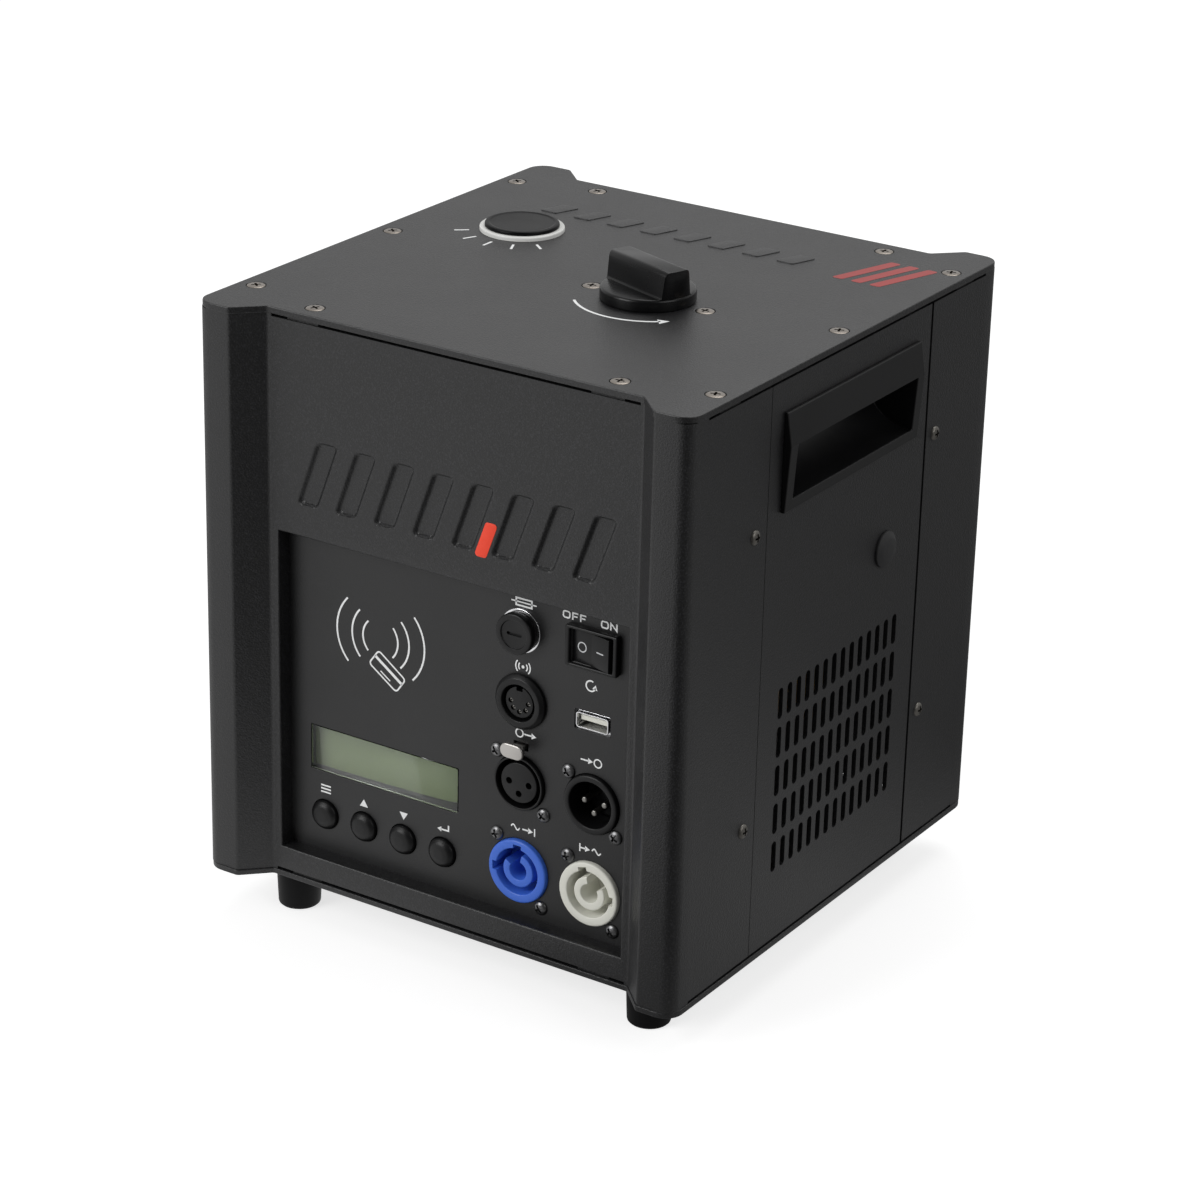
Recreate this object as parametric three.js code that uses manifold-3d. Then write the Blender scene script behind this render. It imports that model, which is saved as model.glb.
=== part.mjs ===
// Cold spark machine: a sheet metal case with a control panel, a filler and a spark outlet on top,
// and the hopper, feed screw, heated tube, blower, fan and electronics that it holds.
// Lengths are in millimetres and angles in degrees. X runs to the right, Y to the back and Z up.
// The origin lies on the floor, under the middle of the machine.

import * as THREE from "three";
import { mergeVertices } from "three/addons/utils/BufferGeometryUtils.js";
import Module from "manifold-3d";

const wasm = await Module();
wasm.setup();

// Case
const bodyWidth = 202;
const bodyDepth = 212;
const earDepth = 9.6;
const earFrontWidth = 14.6;
const earCornerRadius = 9.5;
const footHeight = 17.8;
const basePlateThickness = 2.2;
const shellHeight = 213.3;
const topPlateThickness = 2.5;
const plateOverhang = 0.4;
const sheet = 1.5;
const reliefGap = 1.0;
const reliefNotch = 1.6;
const frontSeam = 55.0;
const rearSeam = 56.1;
const tabHalf = 6.5;
const tabThickness = 2.0;
const sideScrewInset = 7.0;
const sideScrewReach = 80.5;
const faceScrewSetback = 38.7;
const faceScrewInset = 17.7;

// Rubber feet
const footInsetX = 24.2;
const footInsetY = 24.9;
const footTopRadius = 8.55;
const footBottomRadius = 7.8;
const footEdge = 1.2;
const footRecessRadius = 3.6;
const footRecessDepth = 6.0;

// Front opening and control panel
const openingWidth = 146.8;
const openingSill = 9.8;
const openingHeight = 123.7;
const panelSetback = 6.6;
const returnThickness = 1.2;
const panelMargin = 3.1;
const panelThickness = 1.5;

// Side panels
const sidePanelWidth = 109.4;
const joggleGap = 0.2;
const joggleReach = 15.3;
const ventColumns = 14;
const ventRows = 5;
const ventPitchY = 6.17;
const ventPitchShare = 0.06901;
const ventWeb = 3.02;
const ventWidth = 3.2;
const ventShift = 0.2;
const ventRiseShare = 0.297703;
const plugForward = 29.2;
const plugRiseShare = 0.39123;
const plugHoleRadius = 5.9;
const plugCapRadius = 6.75;
const plugRim = 0.8;
const plugDome = 1.9;
const plugShank = 4.5;
const plugWall = 1.4;

// Pocket handles
const handleWidth = 92.6;
const handleDrop = 48.2;
const handleHeight = 35.9;
const mouthRise = 4.2;
const mouthHeight = 19.9;
const mouthWidth = 83.0;
const pocketDepth = 17.5;
const pocketCrown = 8.1;
const pocketWall = 1.9;
const handleProudBottom = 1.6;
const handleProudLip = 3.2;
const handleProudTop = 1.3;
const lipThickness = 2.0;
const lipRootSetback = 0.8;

// Display
const windowX = -32.15;
const windowRiseShare = 0.32538;
const windowWidth = 64.9;
const windowHeight = 17.7;
const windowFlange = 2.0;
const windowFlangeThickness = 1.0;
const displayGap = 0.3;
const displayFrameWidth = 71.2;
const displayFrameHeight = 25.2;
const displayFrameDepth = 6.0;
const displayViewWidth = 64.5;
const displayViewHeight = 16.0;
const displayViewDepth = 0.6;
const displayBoardWidth = 80.0;
const displayBoardHeight = 36.0;
const boardThickness = 1.6;
const standoffRadius = 2.3;
const standoffInset = 2.6;

// Buttons and control board
const buttonNames = ["menu", "up", "down", "enter"];
const buttonFirstX = -58.2;
const buttonPitch = 17.3;
const buttonRiseShare = 0.11803;
const buttonRadius = 5.5;
const buttonProud = 3.0;
const buttonDome = 1.1;
const buttonSkirt = 4.0;
const buttonStemRadius = 2.4;
const buttonTravel = 0.8;
const controlBoardSetback = 14.0;
const controlBoardWidth = 80.0;
const controlBoardHeight = 60.0;
const controlBoardMargin = 5.956;
const switchSize = 6.2;
const switchHeight = 3.6;

// Card reader board
const cardBoardX = -36.0;
const cardBoardRiseShare = 0.7696;
const cardBoardWidth = 60.0;
const cardBoardHeight = 48.0;
const cardBoardSetback = 5.0;
const cardChipSize = 9.0;
const cardChipHeight = 1.2;

// Fuse holder
const fuseX = 26.0;
const fuseRiseShare = 0.87793;
const fuseRingRadius = 8.1;
const fuseRingThickness = 0.8;
const fuseNeckRadius = 6.2;
const fuseFlangeRadius = 7.2;
const fuseFlangeThickness = 1.0;
const fuseBodyRadius = 6.2;
const fuseBodyLength = 31.0;
const fuseBoreRadius = 4.2;
const fuseEndWall = 2.0;
const fuseNutRadius = 8.6;
const fuseNutThickness = 3.0;
const fuseCapRadius = 7.5;
const fuseCapProud = 5.0;
const fuseCapFace = 5.35;
const fuseCapFaceDepth = 0.5;
const fuseCapChamfer = 0.5;
const fuseSlotLength = 6.0;
const fuseSlotWidth = 1.2;
const fuseSlotDepth = 1.3;
const fuseStemRadius = 3.8;
const fuseStemReach = 6.0;
const fuseSocketRadius = 2.9;
const fuseSocketDepth = 4.0;
const fuseLinkRadius = 2.6;
const fuseLinkLength = 20.0;
const fuseGlassRadius = 2.4;
const fuseEndLength = 5.0;

// Power switch
const switchX = 55.9;
const switchRiseShare = 0.8844;
const switchBezelWidth = 21.0;
const switchBezelHeight = 15.0;
const switchBezelProud = 2.8;
const switchBezelChamfer = 0.7;
const switchBodyWidth = 19.0;
const switchBodyHeight = 13.0;
const switchBodyDepth = 13.0;
const switchWellDepth = 7.5;
const rockerRadius = 8.35;
const rockerHeight = 12.0;
const rockerPivotProud = 0.3;
const rockerCornerAngle = 13.9;
const rockerThrow = 18.0;
const rockerBackAngle = 32.0;
const rockerHollow = 0.5;
const rockerPinRadius = 1.2;
const rockerPinLength = 0.6;
const rockerClearance = 0.25;

// Receiver socket
const receiverX = 26.5;
const receiverRiseShare = 0.66451;
const receiverFlangeRadius = 10.25;
const receiverFaceRadius = 8.9;
const receiverProud = 2.5;
const receiverMouthRadius = 6.8;
const receiverInsertRadius = 5.7;
const receiverInsertSetback = 1.0;
const receiverGroove = 6.0;
const receiverBodyRadius = 8.0;
const receiverBodyLength = 14.0;
const receiverNutRadius = 10.0;
const receiverNutThickness = 2.5;
const receiverPinCircle = 3.6;
const receiverPinAngles = [180, 225, 270, 315, 0];
const receiverPinRadius = 0.75;
const receiverPinDepth = 4.0;
const receiverKeyWidth = 2.6;
const receiverKeyDepth = 1.5;

// USB port
const usbX = 55.6;
const usbRiseShare = 0.66128;
const usbHoleWidth = 14.5;
const usbHoleHeight = 7.4;
const usbWidth = 13.1;
const usbHeight = 5.7;
const usbWall = 0.4;
const usbLength = 14.0;
const usbSetback = 0.2;
const usbFlange = 1.6;
const usbFlangeThickness = 0.5;
const usbTongueWidth = 11.0;
const usbTongueHeight = 1.9;
const usbTongueDrop = 0.7;
const usbTongueSetback = 2.0;
const usbCoreLength = 4.0;

// Panel connectors
const connectorFlangeWidth = 26.0;
const connectorFlangeShare = 0.905;
const connectorFlangeThickness = 2.0;
const connectorProud = 1.6;
const connectorHoleClearance = 0.25;
const signalOutX = 26.5;
const signalOutRiseShare = 0.41471;
const signalOutRimRadius = 10.1;
const signalOutGrooveRadius = 9.25;
const signalOutInsertRadius = 7.55;
const signalOutInsertSetback = 0.6;
const signalOutGroove = 11.0;
const signalOutBodyLength = 22.0;
const contactCircle = 4.1;
const contactAngles = [0, 180, 270];
const contactHoleRadius = 1.3;
const contactHoleDepth = 6.0;
const latchRiseShare = 0.36;
const latchWidth = 9.6;
const latchHeightShare = 0.5213;
const latchHeadThickness = 1.8;
const latchProud = 6.2;
const latchStemWidth = 7.4;
const latchStemShare = 0.36;
const latchReach = 6.0;
const signalInX = 56.3;
const signalInRiseShare = 0.41552;
const signalInRimRadius = 11.0;
const signalInBoreRadius = 8.6;
const signalInBoreDepth = 12.0;
const signalInBackRadius = 7.4;
const signalInBodyLength = 18.0;
const signalInInsertThickness = 2.0;
const contactPinRadius = 1.2;
const contactPinSetback = 3.4;
const powerInX = 26.5;
const powerOutX = 56.3;
const powerRiseShare = 0.13864;
const powerRimRadius = 12.0;
const powerGrooveRadius = 8.75;
const powerRingRadius = 6.25;
const powerCoreRadius = 3.5;
const powerGrooveDepth = 12.0;
const powerRingSetback = 0.8;
const powerBodyRadius = 11.4;
const powerBodyLength = 26.0;
const powerNotchWidth = 3.4;
const powerNotchDepth = 1.5;
const powerTerminalSpread = 6.0;
const powerTerminalWidth = 4.8;
const powerTerminalThickness = 0.8;
const powerTerminalLength = 8.0;
const powerInNotchAngles = [90, 180];
const powerInGap = { middle: 112, width: 72 };
const powerOutNotchAngles = [105, 0];
const powerOutGap = { middle: 66, width: 70 };

// Filler
const fillerY = -9.75;
const neckRadius = 14.7;
const neckBoreRadius = 12.0;
const neckRimDrop = 1.4;
const neckLength = 11.0;
const neckFlangeLength = 62.0;
const neckFlangeWidth = 36.0;
const neckFlangeThickness = 3.0;
const capRadius = 17.0;
const capThickness = 4.5;
const capEdge = 0.8;
const capPlugRadius = 11.6;
const capPlugLength = 8.0;
const capPlugWall = 2.0;
const gripAngle = -19.7;
const gripLength = 33.2;
const gripBaseWidth = 12.0;
const gripTopWidth = 10.0;
const gripTop = 14.0;
const gripEdge = 1.8;
const sealWidth = 2.6;

// Hopper
const hopperLeftReach = 45.4;
const hopperRightSetback = 8.0;
const hopperFrontReach = 35.25;
const hopperBackReach = 15.6;
const hopperCorner = 8.0;
const hopperWall = 1.5;
const hopperStraight = 28.0;
const hopperSpoutRadius = 10.2;
const hopperSpoutLength = 9.0;

// Spark outlet and heated tube
const outletGap = 3.7;
const outletRingRadius = 15.7;
const outletRingHeight = 1.5;
const outletCapRadius = 13.8;
const outletCapHeight = 1.1;
const outletCapDome = 0.9;
const outletPlugRadius = 9.0;
const outletPlugLength = 8.0;
const sparkTubeRadius = 11.0;
const sparkTubeBore = 9.5;
const sparkCollarRadius = 15.0;
const sparkCollarThickness = 3.0;
const sparkCollarRise = 129.0;
const sleeveRadius = 16.0;
const sleeveHeight = 33.0;
const coilTubeRadius = 1.5;
const coilTurns = 6;
const coilPitch = 4.6;
const coilStepsPerTurn = 12;
const coilSides = 5;

// Feed screw and its housing
const feedRise = 92.0;
const feedTubeRadius = 10.0;
const feedBoreRadius = 7.8;
const feedInletSetback = 36.0;
const feedCollarRadius = 12.4;
const feedCollarRise = 16.0;
const blockWidth = 36.0;
const blockBottomDrop = 12.0;
const blockHeight = 25.0;
const blockSeatDepth = 7.0;
const augerShaftRadius = 3.0;
const augerFlightRadius = 7.4;
const augerFlightThickness = 1.8;
const augerEndGap = 12.5;
const augerTurns = 6.5;
const augerStepsPerTurn = 6;
const augerTail = 1.5;

// Gears, motor and bracket
const gearModule = 1.25;
const augerGearTeeth = 26;
const pinionTeeth = 16;
const gearBacklash = 0.25;
const gearWidth = 6.0;
const gearGap = 1.2;
const gearTipShare = 0.46;
const gearRootShare = 1.4;
const gearDedendumShare = 1.3;
const gearCentreSlack = 0.3;
const screwToMotorAngle = 270;
const shaftFit = 0.1;
const bracketSetback = 34.6;
const bracketThickness = 2.0;
const bracketMargin = 8.0;
const bracketFoot = 20.0;
const motorRadius = 12.5;
const motorRearGap = 4.9;
const motorBossRadius = 5.0;
const motorBossLength = 1.0;
const motorShaftRadius = 2.5;
const motorRearRadius = 10.0;
const motorRearShare = 0.36364;

// Blower
const blowerRadius = 37.5;
const blowerWidth = 30.0;
const blowerWall = 1.6;
const blowerInletRadius = 17.0;
const blowerDuctWidth = 23.0;
const blowerOffset = 26.0;
const blowerRearGap = 6.9;
const impellerRadius = 27.0;
const impellerWidth = 22.0;
const impellerPlate = 1.4;
const impellerRingWidth = 3.5;
const impellerHubRadius = 8.0;
const impellerHubLength = 12.0;
const impellerBlades = 12;
const impellerBladeDepth = 7.0;
const impellerBladeThickness = 1.0;
const blowerAxleRadius = 2.0;

// Cooling fan
const fanSize = 80.0;
const fanDepth = 20.0;
const fanCorner = 4.0;
const fanBoreRadius = 38.0;
const fanHubRadius = 16.0;
const fanHubPlate = 3.0;
const fanStruts = 4;
const fanStrutWidth = 4.0;
const fanStrutAngle = 45;
const fanBlades = 7;
const fanBladeRadius = 36.8;
const fanBladeThickness = 1.6;
const fanBladeRootWidth = 12.0;
const fanBladeTipWidth = 19.0;
const fanBladeSweep = 1.5;
const fanBladePitch = 28;
const fanHubDepth = 14.0;
const fanRunningGap = 0.8;
const fanPinRadius = 2.0;

// Power supply and driver board
const supplySideGap = 1.8;
const supplyDepth = 38.0;
const supplyHeight = 40.0;
const supplyRearGap = 4.2;
const supplyShelfWidth = 16.0;
const supplyShelfHeight = 14.0;
const driverWidth = 100.0;
const driverHeight = 80.0;
const driverRise = 50.0;
const driverSetback = 7.0;
const sinkWidth = 64.0;
const sinkHeight = 56.0;
const sinkBase = 3.0;
const sinkFins = 7;
const sinkFinDepth = 14.0;
const sinkFinThickness = 1.6;

// Fits, facets and overruns shared by several pieces
const seatGap = 0.3;
const overlap = 0.5;
const overrun = 2.0;
const weldDistance = 1e-4;
const cornerSteps = 4;
const pocketSteps = 6;
const slotEndSteps = 2;
const hopperCornerSteps = 2;
const fanCornerSteps = 2;
const latchEndSteps = 3;
const chamferSteps = 1;
const fineSides = 20;
const roundSides = 16;
const smallSides = 12;
const pinSides = 6;
const quarterTurn = 90;
const halfTurn = 180;
const fullTurn = 360;

// Places worked out from the sizes above
const basePlateTop = footHeight + basePlateThickness;
const topPlateUnderside = basePlateTop + shellHeight;
const topPlateTop = topPlateUnderside + topPlateThickness;
const sideFace = bodyWidth / 2 - plateOverhang;
const recessFace = bodyDepth / 2 - earDepth - plateOverhang;
const panelFace = recessFace - panelSetback;
const panelBack = panelThickness;
const faceScrewReach = bodyWidth / 2 - faceScrewSetback;
const handleRise = shellHeight - handleDrop;
const ventRise = shellHeight * ventRiseShare;
const fanTop = ventRise + fanSize / 2;
const plugRise = fanTop + (handleRise - fanTop) * plugRiseShare;
const ventPitchZ = shellHeight * ventPitchShare;
const ventLength = ventPitchZ - ventWeb;
const windowRise = openingSill + openingHeight * windowRiseShare;
const buttonRise = openingSill + openingHeight * buttonRiseShare;
const controlBoardTop = windowRise + displayBoardHeight / 2 + controlBoardMargin;
const controlBoardRise = controlBoardTop - controlBoardHeight;
const cardBoardRise = openingSill + openingHeight * cardBoardRiseShare;
const fuseRise = openingSill + openingHeight * fuseRiseShare;
const switchRise = openingSill + openingHeight * switchRiseShare;
const receiverRise = openingSill + openingHeight * receiverRiseShare;
const usbRise = openingSill + openingHeight * usbRiseShare;
const signalOutRise = openingSill + openingHeight * signalOutRiseShare;
const signalInRise = openingSill + openingHeight * signalInRiseShare;
const powerRise = openingSill + openingHeight * powerRiseShare;
const connectorFlangeHeight = (signalInRise - powerRise) * connectorFlangeShare;
const latchRoom = receiverRise - receiverFlangeRadius - signalOutRise - signalOutRimRadius;
const latchRise = signalOutRimRadius + latchRoom * latchRiseShare;
const latchHeight = latchRoom * latchHeightShare;
const latchStemHeight = latchRoom * latchStemShare;
const supplyWidth = 2 * (faceScrewReach - tabHalf - supplySideGap);
const supplyFront = recessFace - sheet - supplyRearGap - supplyDepth;
const outletX = sheet - sideFace + fanDepth + outletGap + blockWidth / 2;
const outletY = supplyFront - blowerRearGap - blowerWidth / 2;
const bracketX = sideFace - bracketSetback;
const feedInletX = bracketX - feedInletSetback;
const hopperLeft = outletX + hopperLeftReach;
const hopperRight = bracketX - hopperRightSetback;
const fillerX = (hopperLeft + hopperRight) / 2;
const hopperFront = fillerY - hopperFrontReach;
const hopperBack = outletY + hopperBackReach;
const blockBottom = basePlateTop + feedRise - blockBottomDrop;
const blockTop = blockBottom + blockHeight;
const feedZ = basePlateTop + feedRise;
const gearDistance = (gearModule * (augerGearTeeth + pinionTeeth)) / 2 + gearCentreSlack;
const motorZ = feedZ - gearDistance;
const gearStart = bracketX + bracketThickness + gearGap;
const sparkCollarTop = basePlateTop + sparkCollarRise;
const hopperTop = topPlateUnderside - neckFlangeThickness;
const blowerX = outletX + blowerOffset;
const blowerZ = basePlateTop + blowerRadius;
const motorLength = bracketX - blowerX - blowerRadius - motorRearGap;
const motorRearLength = motorLength * motorRearShare;

// Points along an arc, both ends included.
function arcPoints(u, v, radius, fromAngle, toAngle, steps) {
  return Array.from({ length: steps + 1 }, (_, step) => {
    const angle = THREE.MathUtils.degToRad(fromAngle + ((toAngle - fromAngle) * step) / steps);
    return [u + radius * Math.cos(angle), v + radius * Math.sin(angle)];
  });
}

// A point on a circle about the middle.
function pointAt(radius, angle) {
  const turn = THREE.MathUtils.degToRad(angle);
  return [radius * Math.cos(turn), radius * Math.sin(turn)];
}

function polygon(points) {
  return new THREE.Shape(points.map(([u, v]) => new THREE.Vector2(u, v)));
}

function circle(u, v, radius, sides) {
  return polygon(arcPoints(u, v, radius, 0, fullTurn, sides).slice(1));
}

// The corners of a rectangle in turn, from the right-hand top one on.
const cornerSigns = [[1, 1], [-1, 1], [-1, -1], [1, -1]];

function rectangle(u, v, width, height) {
  return roundedRectangle(u, v, width, height, 0, 0);
}

function roundedRectangle(u, v, width, height, radius, steps) {
  return polygon(
    cornerSigns.flatMap(([across, up], corner) => {
      const cornerU = u + across * (width / 2 - radius);
      const cornerV = v + up * (height / 2 - radius);
      if (steps === 0) return [[cornerU, cornerV]];
      const angle = corner * quarterTurn;
      return arcPoints(cornerU, cornerV, radius, angle, angle + quarterTurn, steps);
    }),
  );
}

// A geometry as a solid that can be joined and cut.
function solidOf(geometry) {
  const bare = geometry.index ? geometry.toNonIndexed() : geometry.clone();
  bare.deleteAttribute("normal");
  bare.deleteAttribute("uv");
  const merged = mergeVertices(bare, weldDistance);
  const corners = merged.index.array;
  const vertProperties = merged.attributes.position.array;
  const kept = [];
  for (let i = 0; i < corners.length; i += 3) {
    const [a, b, c] = corners.slice(i, i + 3);
    if (a !== b && b !== c && c !== a) kept.push(a, b, c);
  }
  const triVerts = new Uint32Array(signedVolume(vertProperties, kept) < 0 ? kept.reverse() : kept);
  return new wasm.Manifold(new wasm.Mesh({ numProp: 3, vertProperties, triVerts }));
}

function signedVolume(positions, corners) {
  const point = (index) => new THREE.Vector3().fromArray(positions, 3 * index);
  let volume = 0;
  for (let i = 0; i < corners.length; i += 3) {
    const [a, b, c] = [point(corners[i]), point(corners[i + 1]), point(corners[i + 2])];
    volume += a.dot(b.cross(c)) / 6;
  }
  return volume;
}

function geometryOf(solid) {
  const mesh = solid.getMesh();
  const geometry = new THREE.BufferGeometry();
  geometry.setAttribute("position", new THREE.BufferAttribute(mesh.vertProperties, mesh.numProp));
  geometry.setIndex(new THREE.BufferAttribute(mesh.triVerts, 1));
  geometry.computeVertexNormals();
  return geometry;
}

const axisX = new THREE.Vector3(1, 0, 0);
const axisY = new THREE.Vector3(0, 1, 0);
const axisZ = new THREE.Vector3(0, 0, 1);

// An outline across an axis, drawn out along it. It is drawn in (y, z) for x, (x, z) for y
// and (x, y) for z.
function extruded(shape, axis, from, to) {
  const turns = {
    x: new THREE.Matrix4().makeBasis(axisY, axisZ, axisX),
    y: new THREE.Matrix4().makeBasis(axisX, axisZ, axisY.clone().negate()),
    z: new THREE.Matrix4(),
  };
  const geometry = new THREE.ExtrudeGeometry(shape, { depth: to - from, bevelEnabled: false });
  const start = axis === "y" ? -to : from;
  return solidOf(geometry.translate(0, 0, start).applyMatrix4(turns[axis]));
}

// A profile of [radius, place along the axis] points, turned about an axis.
function turned(profile, axis, sides) {
  const turns = {
    x: new THREE.Matrix4().makeBasis(axisZ, axisX, axisY),
    y: new THREE.Matrix4(),
    z: new THREE.Matrix4().makeBasis(axisX, axisZ, axisY.clone().negate()),
  };
  const points = profile.map(([radius, place]) => new THREE.Vector2(radius, place));
  return solidOf(new THREE.LatheGeometry(points, sides).applyMatrix4(turns[axis]));
}

function rod(radius, axis, from, to, sides) {
  return turned([[0, from], [radius, from], [radius, to], [0, to]], axis, sides);
}

function ring(outer, inner, axis, from, to, sides) {
  const profile = [[inner, from], [outer, from], [outer, to], [inner, to], [inner, from]];
  return turned(profile, axis, sides);
}

// A box from [from, to] pairs along x, y and z.
function block(x, y, z) {
  const size = [x, y, z].map(([from, to]) => to - from);
  const middle = [x, y, z].map(([from, to]) => (from + to) / 2);
  return solidOf(new THREE.BoxGeometry(...size).translate(...middle));
}

function join(...solids) {
  return solids.reduce((whole, solid) => whole.add(solid));
}

function cut(body, ...tools) {
  return tools.reduce((whole, tool) => whole.subtract(tool), body);
}

// A closed skin over rings of points, with a fan on the first and the last ring.
function lofted(rings) {
  const count = rings[0].length;
  const centre = (points) =>
    points.reduce((sum, point) => sum.add(point), new THREE.Vector3()).divideScalar(count);
  const points = [...rings.flat(), centre(rings[0]), centre(rings[rings.length - 1])];
  const first = rings.length * count;
  const index = [];
  for (let side = 0; side < count; side += 1) {
    const next = (side + 1) % count;
    for (let row = 0; row + 1 < rings.length; row += 1) {
      const [a, b] = [row * count + side, row * count + next];
      index.push(a, b, b + count, a, b + count, a + count);
    }
    const last = (rings.length - 1) * count;
    index.push(first, next, side, first + 1, last + side, last + next);
  }
  const geometry = new THREE.BufferGeometry().setFromPoints(points);
  geometry.setIndex(index);
  return solidOf(geometry);
}

function moved(solid, x, y, z) {
  return solid.translate([x, y, z]);
}

// The plan of one corner of the case, from the foot of the ear's flank to the side,
// drawn in by an inset from the rim of the plates.
function cornerPoints(inset) {
  const flankMitreShare = Math.SQRT2 - 1;
  const front = bodyDepth / 2 - inset;
  const radius = earCornerRadius - inset;
  const flankFoot = bodyWidth / 2 - earFrontWidth - earDepth + inset * flankMitreShare;
  const arcX = bodyWidth / 2 - inset - radius;
  return [
    [flankFoot, front - earDepth],
    [flankFoot + earDepth, front],
    ...arcPoints(arcX, front - radius, radius, 90, 0, cornerSteps),
  ];
}

function plateOutline() {
  const corner = cornerPoints(0);
  const mirrored = (acrossX, acrossY) => corner.map(([x, y]) => [x * acrossX, y * acrossY]);
  return polygon([
    ...mirrored(1, 1),
    ...mirrored(1, -1).reverse(),
    ...mirrored(-1, -1),
    ...mirrored(-1, 1).reverse(),
  ]);
}

function topPlate() {
  const plate = extruded(plateOutline(), "z", -topPlateThickness, 0);
  const hole = (radius) => rod(radius, "z", -overrun - topPlateThickness, overrun, fineSides);
  const outletHole = outletPlaced(hole(sparkTubeRadius + seatGap));
  return cut(plate, outletHole, moved(hole(neckRadius + seatGap), fillerX, fillerY, 0));
}

function outletPlaced(solid) {
  return moved(solid, outletX, outletY, 0);
}

function basePlate() {
  return extruded(plateOutline(), "z", 0, basePlateThickness);
}

// A shell is one folded sheet: a recessed face between two ears, and two sides up to a seam.
// Its edges stand clear of the plates along the straight stretches. Tabs take the plates' screws.
function shell(seam) {
  const wallPath = (inset) => {
    const corner = cornerPoints(inset);
    const side = bodyWidth / 2 - inset;
    return [
      [side, seam],
      ...[...corner].reverse(),
      ...corner.map(([x, y]) => [-x, y]),
      [-side, seam],
    ];
  };
  const outer = wallPath(plateOverhang);
  const inner = wallPath(plateOverhang + sheet);
  const wall = extruded(polygon([...outer, ...inner.reverse()]), "z", 0, shellHeight);
  const [flankFoot] = cornerPoints(plateOverhang)[0];
  const faceEnd = flankFoot - reliefNotch;
  const sideEnd = bodyDepth / 2 - earCornerRadius - reliefNotch;
  const sideInside = sideFace - sheet - overrun;
  const ends = [[-overrun, reliefGap], [shellHeight - reliefGap, shellHeight + overrun]];
  const reliefs = ends.flatMap((z) => [
    block([-faceEnd, faceEnd], [recessFace - sheet - overrun, recessFace + overrun], z),
    block([sideInside, sideFace + overrun], [seam - overrun, sideEnd], z),
    block([-sideFace - overrun, -sideInside], [seam - overrun, sideEnd], z),
  ]);
  return join(cut(wall, ...reliefs), ...shellTabs());
}

function shellTabs() {
  const sideX = bodyWidth / 2 - sideScrewInset;
  const faceY = bodyDepth / 2 - faceScrewInset;
  const tabEnds = [[0, tabThickness], [shellHeight - tabThickness, shellHeight]];
  return tabEnds.flatMap((z) =>
    [-1, 1].flatMap((across) => {
      const sideSpan = [across * (sideX - tabHalf), across * (sideFace - sheet / 2)];
      const faceX = across * faceScrewReach;
      return [
        block(inOrder(sideSpan), [sideScrewReach - tabHalf, sideScrewReach + tabHalf], z),
        block([faceX - tabHalf, faceX + tabHalf], [faceY - tabHalf, recessFace - sheet / 2], z),
      ];
    }),
  );
}

function inOrder([a, b]) {
  return [Math.min(a, b), Math.max(a, b)];
}

// The front shell has the panel opening, with returns folded back to the control panel.
// It is made facing the back, like the rear shell, and stands turned half round.
function frontShell() {
  const middleZ = openingSill + openingHeight / 2;
  const rimWidth = openingWidth + 2 * returnThickness;
  const rimHeight = openingHeight + 2 * returnThickness;
  const rim = extruded(
    rectangle(0, middleZ, rimWidth, rimHeight),
    "y",
    panelFace,
    recessFace - sheet / 2,
  );
  const opening = rectangle(0, middleZ, openingWidth, openingHeight);
  const hole = extruded(opening, "y", panelFace - overrun, recessFace + overrun);
  return cut(join(shell(frontSeam), rim), hole);
}

// A side panel lies flush with the shells and carries joggled flanges behind them.
// Its outer face is at x = 0 and its inside is on the side of negative x.
function sidePanel() {
  const half = sidePanelWidth / 2;
  const step = sheet + joggleGap;
  const edge = [
    [0, half],
    [-step, half],
    [-step, half + joggleReach],
    [-step - sheet, half + joggleReach],
    [-step - sheet, half - sheet],
    [-sheet, half - sheet - step],
  ];
  const profile = polygon([...edge, ...edge.map(([x, y]) => [x, -y]).reverse()]);
  const wall = extruded(profile, "z", reliefGap, shellHeight - reliefGap);
  const tabX = [plateOverhang - sideScrewInset - tabHalf, -sheet / 2];
  const tabs = [[0, tabThickness], [shellHeight - tabThickness, shellHeight]].map((z) =>
    block(tabX, [-tabHalf, tabHalf], z),
  );
  const plugHole = rod(plugHoleRadius, "x", -sheet - overrun, overrun, smallSides);
  const plugPlaced = moved(plugHole, 0, plugForward, plugRise);
  return cut(join(wall, ...tabs), handleCutOut(), plugPlaced, ventSlots());
}

function handleCutOut() {
  const bottom = handleRise + mouthRise - pocketWall - seatGap;
  const top = handleRise + mouthRise + mouthHeight + pocketCrown + pocketWall + seatGap;
  const half = mouthWidth / 2 + pocketWall + seatGap;
  return block([-sheet - overrun, overrun], [-half, half], [bottom, top]);
}

function ventSlots() {
  const radius = ventWidth / 2;
  const reach = ventLength / 2 - radius;
  const slot = polygon([
    ...arcPoints(0, reach, radius, 0, 180, slotEndSteps),
    ...arcPoints(0, -reach, radius, 180, 360, slotEndSteps),
  ]);
  const cutter = extruded(slot, "x", -sheet - overrun, overrun);
  const slots = [];
  for (let row = 0; row < ventRows; row += 1) {
    for (let column = 0; column < ventColumns; column += 1) {
      const y = -ventShift + (column - (ventColumns - 1) / 2) * ventPitchY;
      const z = ventRise + (row - (ventRows - 1) / 2) * ventPitchZ;
      slots.push(moved(cutter, 0, y, z));
    }
  }
  return join(...slots);
}

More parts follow.
